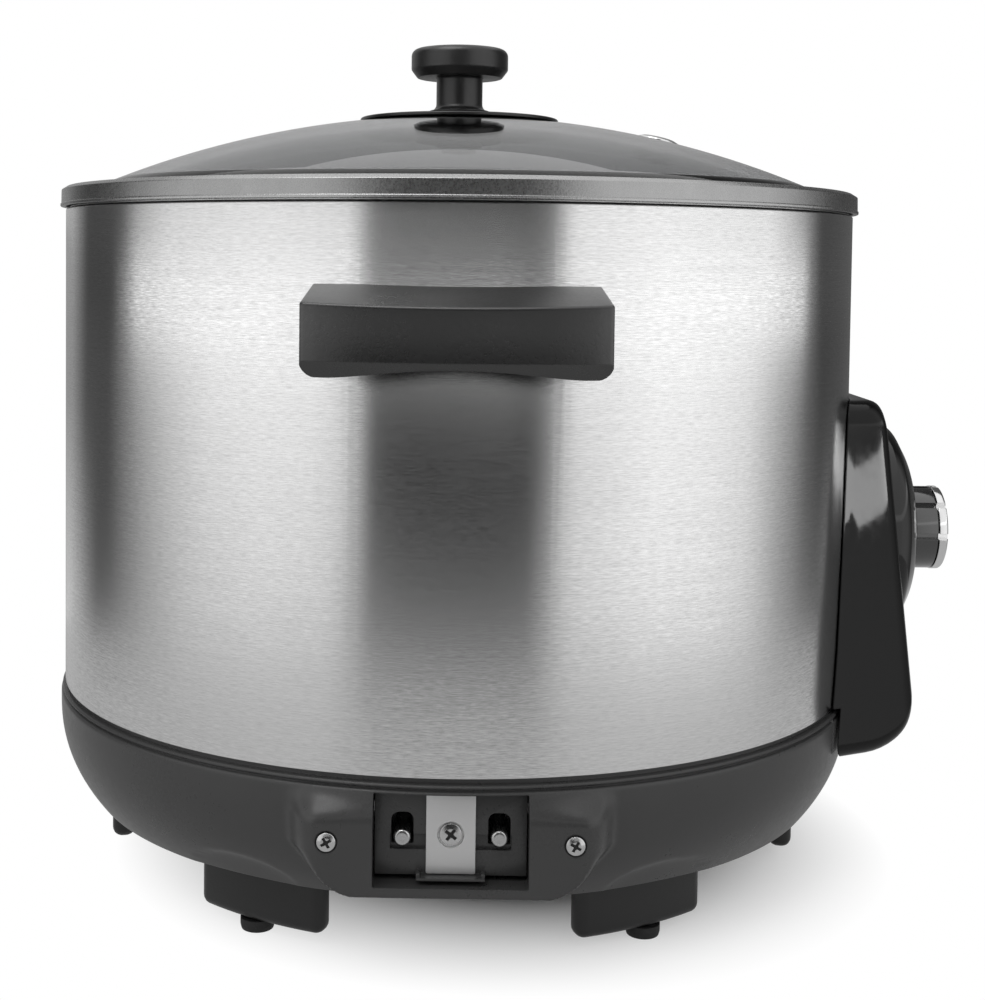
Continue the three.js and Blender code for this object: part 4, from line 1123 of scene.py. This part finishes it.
def glowing(name, tone):
    """Light on top of whatever lies behind it."""
    m = bpy.data.materials.new(name)
    n = Nodes(m)
    light = n.add("Emission", {"Color": WHITE, "Strength": tone})
    clear = n.add("BsdfTransparent", {"Color": WHITE})
    n.finish(n.add("AddShader", {0: light.outputs[0], 1: clear.outputs[0]}))
    return m


def tone_ramp(n, across, stops):
    """Tones round the strip; across runs from 0 to 1 over bearings from -180 to 180."""
    node = n.add("ValToRGB", {"Fac": across})
    elements = node.color_ramp.elements
    for k, (bearing, tone) in enumerate(stops):
        place = (bearing + 180) / 360
        stop = elements[k] if k < 2 else elements.new(place)
        stop.position = place
        stop.color = (tone, tone, tone, 1)
    return node.outputs["Color"]


def strip_material():
    m = bpy.data.materials.new("studio_strip")
    n = Nodes(m)
    place = n.add("SeparateXYZ", {"Vector": n.add("TexCoord").outputs["UV"]}).outputs
    height = n.spread(place["Y"], 0.0, 1.0, STRIP_LOW_Z - SEAM_Z, STRIP_TOP_Z - SEAM_Z)
    tone = tone_ramp(n, place["X"], STRIP_LOW)
    for start, end, stops in STRIP_BLENDS:
        share = n.spread(height, start, end, 0.0, 1.0)
        tone = n.mix(share, tone, tone_ramp(n, place["X"], stops))
    n.finish(n.add("Emission", {"Color": tone, "Strength": 1.0}))
    return m


reflector("studio_strip", -180, 180, STRIP_LOW_Z, STRIP_TOP_Z, STRIP_REACH, strip_material())

WINDOW_START, WINDOW_END = 57, 80  # bearings
WINDOW_LOW_Z, WINDOW_TOP_Z = SEAM_Z + 0.075, SEAM_Z + 0.11
window = reflector(
    "side_window", WINDOW_START, WINDOW_END, WINDOW_LOW_Z, WINDOW_TOP_Z, STRIP_REACH - 0.01,
    glowing("side_window", 11.0),
)
shown_on = bpy.data.collections.new("shown_on")  # only the glossy panel mirrors the side window
shown_on.objects.link(panel)
window.light_linking.receiver_collection = shown_on

# The world is white where it is seen, and lights everything else a little less.
WORLD_LEVEL = 0.78
world = bpy.data.worlds.new("studio")
bpy.context.scene.world = world
sky = Nodes(world, "OutputWorld")
seen_directly = sky.any_of("Is Camera Ray", "Is Transmission Ray", "Is Glossy Ray")
sky_strength = sky.spread(seen_directly, 0.0, 1.0, WORLD_LEVEL, 1.0)
sky.finish(sky.add("Background", {"Color": WHITE, "Strength": sky_strength}))

SOFTBOX_SIZE = 1.2
SOFTBOX_AIM = Vector((0, 0, 0.1))
lamp = bpy.data.lights.new("softbox", "AREA")
lamp.shape = "RECTANGLE"
lamp.size = SOFTBOX_SIZE
lamp.size_y = SOFTBOX_SIZE
lamp.energy = 11.0
softbox = bpy.data.objects.new("softbox", lamp)
softbox.location = (-0.5, -0.7, 1.7)
softbox.rotation_euler = (SOFTBOX_AIM - softbox.location).to_track_quat("-Z", "Y").to_euler()
bpy.context.scene.collection.objects.link(softbox)


# ---------------------------------------------------------------- camera
YAW, PITCH, ROLL = -0.01401, 0.04451, 0.01109  # in radians
CAMERA_Y = -0.5922
CAMERA_HEIGHT = 0.147  # over the seam
camera = bpy.data.cameras.new("camera")
camera.lens = 58.07
camera.sensor_width = 36.0
camera.shift_x = 0.0584
camera.shift_y = -0.1668
camera.clip_start = 0.01
view = bpy.data.objects.new("camera", camera)
view.matrix_world = (
    Matrix.Translation((AXIS_X, CAMERA_Y, SEAM_Z + CAMERA_HEIGHT))
    @ Matrix.Rotation(-YAW, 4, "Z")
    @ Matrix.Rotation(math.pi / 2 - PITCH, 4, "X")
    @ Matrix.Rotation(ROLL, 4, "Z")
)
bpy.context.scene.collection.objects.link(view)
bpy.context.scene.camera = view
bpy.context.scene.view_settings.view_transform = "Standard"
